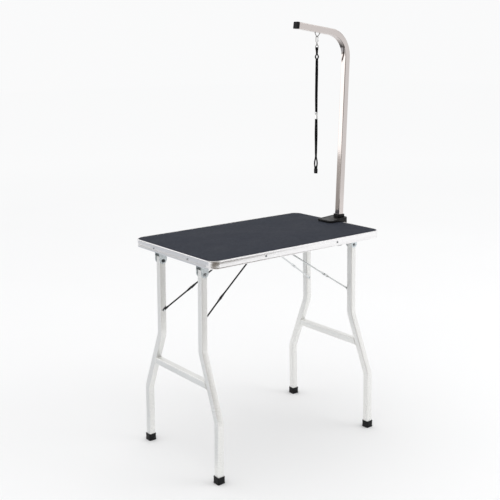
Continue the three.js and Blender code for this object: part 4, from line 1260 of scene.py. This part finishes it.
def make_mast_sleeve():
    """The sleeve's collar round the mast, and its lower end."""
    half, top = 0.017, 0.025
    bore = ARM_TUBE / 2 + SLIDE_GAP
    levels = [(0.0065, 0.0)] + round_edges(0.0090, top, 0.0020)[1:]
    levels += [(top, half - bore), (0.012, half - bore)]

    def collar_outline(inset):
        return rounded_rectangle(half - inset, half - inset, max(0.0045 - inset * 0.4, 0.002), 6)

    collar = stack(levels, collar_outline)
    tail_half = 0.0145
    tail = stack(round_edges(-0.079, -0.070, 0.0008), shrinking(tail_half, tail_half, 0.002))
    parts = [move(collar, ARM_FRAME), move(tail, ARM_FRAME)]
    piece("mast_sleeve_collar", parts, CLAMP_BLACK, "table_top", ["mast_sleeve"])


def make_clamp_screw():
    """Pad, threaded screw and its lobed knob."""
    low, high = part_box("clamp_pad")
    centre = Vector(((low.x + high.x) / 2, (low.y + high.y) / 2, 0))
    radius = (high.x - low.x) / 2
    height = high.z - low.z
    pad = lathe([(0, 0), (radius * 0.55, 0), (radius * 0.9, height * 0.35), (radius, height * 0.5),
                 (radius, height - 0.0006), (radius - 0.0006, height), (0, height)], 40)
    piece("clamp_pad_disc", [move(pad, Matrix.Translation((centre.x, centre.y, low.z)))], KNOB_BLACK,
          "clamp_pad", ["clamp_pad"])
    low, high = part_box("clamp_screw")
    pitch = 0.002
    rings = []
    count = int((high.z - low.z) / pitch * 6)
    for i in range(count + 1):
        z = low.z + (high.z - low.z) * i / count
        ring = []
        for j in range(24):
            phase = (z / pitch + j / 24) % 1
            r = 0.005 - 0.0008 * abs(2 * phase - 1)
            angle = 2 * math.pi * j / 24
            ring.append(Vector((centre.x + r * math.cos(angle), centre.y + r * math.sin(angle), z)))
        rings.append(ring)
    piece("clamp_screw_thread", [loft(rings)], ZINC, "clamp_screw", ["clamp_screw"], 60)
    low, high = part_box("clamp_knob")
    knob = move(knob_part(0.019, high.z - low.z), Matrix.Translation((centre.x, centre.y, high.z))
                @ Matrix.Rotation(math.pi, 4, "X"))
    piece("clamp_knob_grip", [knob], KNOB_BLACK, "clamp_screw", ["clamp_knob"])


def make_mast_lock():
    """Lock screw that presses on the mast from outside, with its knob."""
    below_mat, knob_start, shank_radius, shank_end = 0.055, 0.021, 0.003, 0.024
    outwards = ARM_FRAME @ Matrix.Translation((0, 0, -below_mat)) @ Matrix.Rotation(math.pi / 2, 4, "Y")
    knob = move(knob_part(0.015, 0.013), outwards @ Matrix.Translation((0, 0, knob_start)))
    tip = ARM_TUBE / 2 + SLIDE_GAP
    shank = lathe([(0, tip), (shank_radius, tip), (shank_radius, shank_end), (0, shank_end)], 16)
    shank = move(shank, outwards)
    piece("mast_lock_knob_grip", [knob, shank], KNOB_BLACK, "mast_lock", ["mast_lock_knob"])


make_clamp_body()
make_mast_sleeve()
make_clamp_screw()
make_mast_lock()


# ---- grooming arm ----------------------------------------------------------------------------

def along_arm(distance, above=0.0):
    """A point in the arm's own frame: distance from the corner, and height above the arm's middle."""
    x = -distance * math.cos(ARM_RISE) + above * math.sin(ARM_RISE)
    z = ARM_CORNER_RISE + distance * math.sin(ARM_RISE) + above * math.cos(ARM_RISE)
    return Vector((x, 0, z))


def make_arm():
    """One square tube; the inner wall of the bend is drawn in a little, as a bent tube's is."""
    corners = [Vector((0, 0, -MAST_BELOW_MAT)), Vector((0, 0, ARM_CORNER_RISE)), along_arm(ARM_REACH)]
    path = subdivide(fillet(corners, ARM_BEND_RADIUS, 36), 0.05)
    turn = math.pi / 2 - ARM_RISE
    bend_start = MAST_BELOW_MAT + ARM_CORNER_RISE - ARM_BEND_RADIUS * math.tan(turn / 2)
    bend_length = ARM_BEND_RADIUS * turn
    half = ARM_TUBE / 2
    outer = rounded_rectangle(half, half, 0.0028, 8)
    fine = []
    for (a, b), (c, d) in zip(outer, outer[1:] + outer[:1]):
        pieces = 8 if math.hypot(c - a, d - b) > half else 1
        fine += [(a + (c - a) * i / pieces, b + (d - b) * i / pieces) for i in range(pieces)]
    scale = (half - ARM_WALL) / half
    inner = [(a * scale, b * scale) for a, b in fine]

    def dent(distance, a, b):
        share = (distance - bend_start + 0.012) / (bend_length + 0.024)
        if not 0 < share < 1:
            return a, b
        depth = 0.0026 * math.sin(math.pi * share) ** 0.6
        inside = max(0.0, -a / half)
        return a + depth * inside ** 6 * (1 - (b / half) ** 2), b

    tube = pipe(path, fine, inner, Y_AXIS, dent)
    tube = move(tube, ARM_FRAME)
    piece("grooming_arm_tube", [tube], ARM, "grooming_arm", ["grooming_arm"], 30)


def make_plug(name, matrix, size, depth, body):
    """A moulded plug: eased square flange with a slightly crowned face."""
    half = size / 2
    levels = [(0.0003, 0.0003), (0.0007, 0.0)] + round_edges(0.0009, depth, 0.0012)[5:]
    levels += [(depth + 0.0002, half * 0.35), (depth + 0.0003, half * 0.7)]

    def outline(inset):
        return rounded_rectangle(half - inset, half - inset, max(0.0026 - inset * 0.3, 0.001))

    flange = stack(levels, outline)
    piece(name + "_plug", [move(flange, matrix)], KNOB_BLACK, body, [name])


def make_arm_plugs():
    tip = Matrix.Translation(along_arm(ARM_REACH)) @ Matrix.Rotation(-math.pi / 2 + ARM_RISE, 4, "Y")
    make_plug("arm_end_cap", ARM_FRAME @ tip, ARM_TUBE + 0.0006, 0.0103, "grooming_arm")
    foot = Matrix.Translation((0, 0, -MAST_BELOW_MAT)) @ Matrix.Rotation(math.pi, 4, "X")
    make_plug("mast_bottom_plug", ARM_FRAME @ foot, ARM_TUBE, 0.0043, "grooming_arm")


def make_bail():
    """A V of wire under the arm, its ends set into the tube's lower wall with small swaged collars."""
    half_spread = 0.012
    underside = -ARM_TUBE / 2
    far, near = BAIL_REACH + half_spread, BAIL_REACH - half_spread
    corners = [along_arm(far, underside + 0.0022), along_arm(far, underside - 0.0022),
               along_arm(BAIL_REACH, -0.031),
               along_arm(near, underside - 0.0022), along_arm(near, underside + 0.0022)]
    path = subdivide(fillet(corners, [0.0025, 0.004, 0.0025], 10), 0.002)
    parts = [sweep(path, circle(0.0016, 16), Y_AXIS)]
    for reach in (far, near):
        collar = lathe([(0, 0), (0.0028, 0), (0.0026, 0.0008), (0.0016, 0.0012), (0, 0.0012)], 20)
        seat = Matrix.Translation(along_arm(reach, underside)) @ Matrix.Rotation(math.pi, 4, "X")
        parts.append(move(collar, seat))
    parts = [move(part, ARM_FRAME) for part in parts]
    piece("noose_bail_wire", parts, HOOK_STEEL, "grooming_arm", ["noose_bail"])


make_arm()
make_arm_plugs()
make_bail()


# ---- snap hook -------------------------------------------------------------------------------

def hook_spot(y, z):
    return Vector((NOOSE_X, MAST_Y + y, z))


def make_snap_hook():
    """Bow, swivel barrel with its collars, and the flat eye that the strap is folded through."""
    low, high = hook_low, hook_high
    wire = HOOK_WIRE
    barrel_top, eye_top = 1.5240, 1.5170
    bow_low, bow_top = barrel_top + 0.004, high.z - wire
    half = 0.0055
    spot = hook_spot
    bow_corners = [spot(0, barrel_top - 0.002), spot(0, bow_low), spot(half, bow_low + 0.002),
                   spot(half, bow_top), spot(-half, bow_top), spot(-half, bow_top - 0.009)]
    bow = subdivide(fillet(bow_corners, [0.0015, 0.002, 0.0052, 0.0052], 10), wire)
    eye_half = 0.0077
    eye_low = low.z + wire
    eye_corners = [spot(0, eye_top + 0.0008), spot(eye_half, eye_top - 0.001), spot(eye_half, eye_low),
                   spot(-eye_half, eye_low), spot(-eye_half, eye_top - 0.001), spot(0, eye_top + 0.0008)]
    eye = subdivide(fillet(eye_corners, 0.0022, 8), wire)
    barrel = lathe([(0, 0), (0.0034, 0), (0.0040, 0.0005), (0.0040, 0.0018), (0.0033, 0.0022),
                    (0.0033, 0.0048), (0.0039, 0.0052), (0.0039, 0.0064), (0.0030, 0.0072), (0, 0.0074)], 28)
    parts = [sweep(route, circle(wire, 14), X_AXIS) for route in (bow, eye)]
    parts.append(move(barrel, Matrix.Translation(spot(0, eye_top))))
    piece("snap_hook_body", parts, HOOK_STEEL, "snap_hook", ["snap_hook"])


def make_snap_gate():
    """The sprung gate with its small thumb lever."""
    low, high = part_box("snap_gate")
    spot = hook_spot
    corners = [spot(-0.0022, low.z + 0.0010), spot(-0.0049, low.z + 0.0030), spot(-0.0055, high.z - 0.0006)]
    gate = sweep(subdivide(fillet(corners, 0.002, 6), 0.001), circle(0.0011, 12), X_AXIS)
    lever = lathe([(0, 0), (0.0009, 0), (0.0009, 0.0028), (0.0013, 0.0034), (0.0010, 0.0042),
                   (0, 0.0044)], 16)
    parts = [gate, move(lever, facing((0, -1, 0.2), spot(-0.0050, low.z + 0.0045)))]
    piece("snap_gate_lever", parts, HOOK_STEEL, "snap_gate", ["snap_gate"])


make_snap_hook()
make_snap_gate()


# ---- studio ----------------------------------------------------------------------------------

def stage_plane(name, centre, size_x, size_y, rotation, material):
    mesh = bpy.data.meshes.new(name)
    x, y = size_x / 2, size_y / 2
    mesh.from_pydata([(-x, -y, 0), (x, -y, 0), (x, y, 0), (-x, y, 0)], [], [[0, 1, 2, 3]])
    mesh.materials.append(material)
    obj = bpy.data.objects.new(name, mesh)
    obj.matrix_world = Matrix.Translation(centre) @ rotation.to_4x4()
    scene.collection.objects.link(obj)
    return obj


def area_light(name, place, target, size, power):
    data = bpy.data.lights.new(name, "AREA")
    data.shape = "RECTANGLE"
    data.size, data.size_y = size
    data.energy = power
    light = bpy.data.objects.new(name, data)
    light.matrix_world = facing(Vector(place) - Vector(target), Vector(place))
    scene.collection.objects.link(light)


def make_world():
    world = bpy.data.worlds.new("studio_world")
    world.use_nodes = True
    background = next(n for n in world.node_tree.nodes if n.type == "BACKGROUND")
    background.inputs["Color"].default_value = (0.955, 0.957, 0.96, 1)
    background.inputs["Strength"].default_value = 1.0
    scene.world = world


def card_material(name, top, bottom, height, strength):
    """Glowing card that shows only in reflections, shaded from its lower to its upper edge."""
    made = bpy.data.materials.new(name)
    made.use_nodes = True
    tree = made.node_tree
    tree.nodes.clear()
    place = tree.nodes.new("ShaderNodeTexCoord")
    split = tree.nodes.new("ShaderNodeSeparateXYZ")
    span = tree.nodes.new("ShaderNodeMapRange")
    ramp = tree.nodes.new("ShaderNodeValToRGB")
    glow = tree.nodes.new("ShaderNodeEmission")
    output = tree.nodes.new("ShaderNodeOutputMaterial")
    span.inputs["From Min"].default_value = -height / 2
    span.inputs["From Max"].default_value = height / 2
    ramp.color_ramp.elements[0].color = (*bottom, 1)
    ramp.color_ramp.elements[1].color = (*top, 1)
    glow.inputs["Strength"].default_value = strength
    tree.links.new(place.outputs["Object"], split.inputs["Vector"])
    tree.links.new(split.outputs["Y"], span.inputs["Value"])
    tree.links.new(span.outputs["Result"], ramp.inputs["Fac"])
    tree.links.new(ramp.outputs["Color"], glow.inputs["Color"])
    tree.links.new(glow.outputs["Emission"], output.inputs["Surface"])
    return made


def reflection_card(name, heading, distance, low, high, width, top, bottom, strength=1.0):
    """An upright card that only glossy surfaces see, at a heading in degrees from +X about the table."""
    angle = math.radians(heading)
    towards = Vector((-math.cos(angle), -math.sin(angle), 0))
    turn = Matrix((Z_AXIS.cross(towards).normalized(), Z_AXIS, towards)).transposed()
    centre = Vector((TABLE_X, 0, (low + high) / 2)) - towards * distance
    material = card_material(name, top, bottom, high - low, strength)
    only_glossy(stage_plane(name, centre, width, high - low, turn, material))


def only_glossy(card):
    card.visible_camera = False
    card.visible_diffuse = False
    card.visible_shadow = False
    card.visible_transmission = False


def floor_card(name, low, high, color):
    """A card lying on the floor, from one corner to the other."""
    centre = Vector(((low[0] + high[0]) / 2, (low[1] + high[1]) / 2, 0.002))
    size = (high[0] - low[0], high[1] - low[1])
    material = card_material(name, color, color, size[1], 1.0)
    only_glossy(stage_plane(name, centre, size[0], size[1], Matrix.Identity(3), material))


def make_studio():
    make_world()
    stage_plane("floor", Vector((0, 0, 0)), 60, 60, Matrix.Identity(3), floor_material())
    area_light("key", (3.2, -3.4, 3.6), (0, 0, 0.7), (2.6, 2.6), 40)
    area_light("top", (-0.5, 0.6, 4.2), (0, 0, 0.6), (3.2, 3.2), 14)
    room = (0.40, 0.38, 0.36)
    dark = (0.12, 0.11, 0.10)
    reflection_card("card_far_floor", 134, 4.9, 0.0, 0.75, 3.2, (0.64, 0.62, 0.60), (0.32, 0.31, 0.30))
    reflection_card("card_far_softbox", 134, 5.4, 0.70, 3.4, 3.4, (1, 1, 1), (1, 1, 1), 1.8)
    reflection_card("card_camera_side", 232, 5.4, 0.0, 4.2, 5.6, room, room)
    reflection_card("card_front", 278, 5.4, 0.9, 7.5, 4.2, dark, (0.3, 0.28, 0.26))
    reflection_card("card_front_right", 318, 5.4, 2.2, 7.5, 3.6, dark, dark)
    reflection_card("card_left", 186, 5.4, 0.5, 4.6, 4.2, room, room)
    floor_card("card_floor_camera_side", (-4.0, -5.0), (0.8, -2.4), (0.18, 0.16, 0.14))
    floor_card("card_floor_near_front", (-4.0, -2.4), (1.35, -1.25), (0.18, 0.16, 0.14))
    floor_card("card_floor_left", (-4.0, -0.1), (-0.45, 3.4), (0.58, 0.60, 0.63))
    ceiling = card_material("card_ceiling", (0.4, 0.39, 0.38), (0.4, 0.39, 0.38), 8, 1.0)
    turn = Matrix.Rotation(math.pi, 3, "X")
    only_glossy(stage_plane("card_ceiling", Vector((TABLE_X, 0, 4.8)), 8, 8, turn, ceiling))


make_studio()
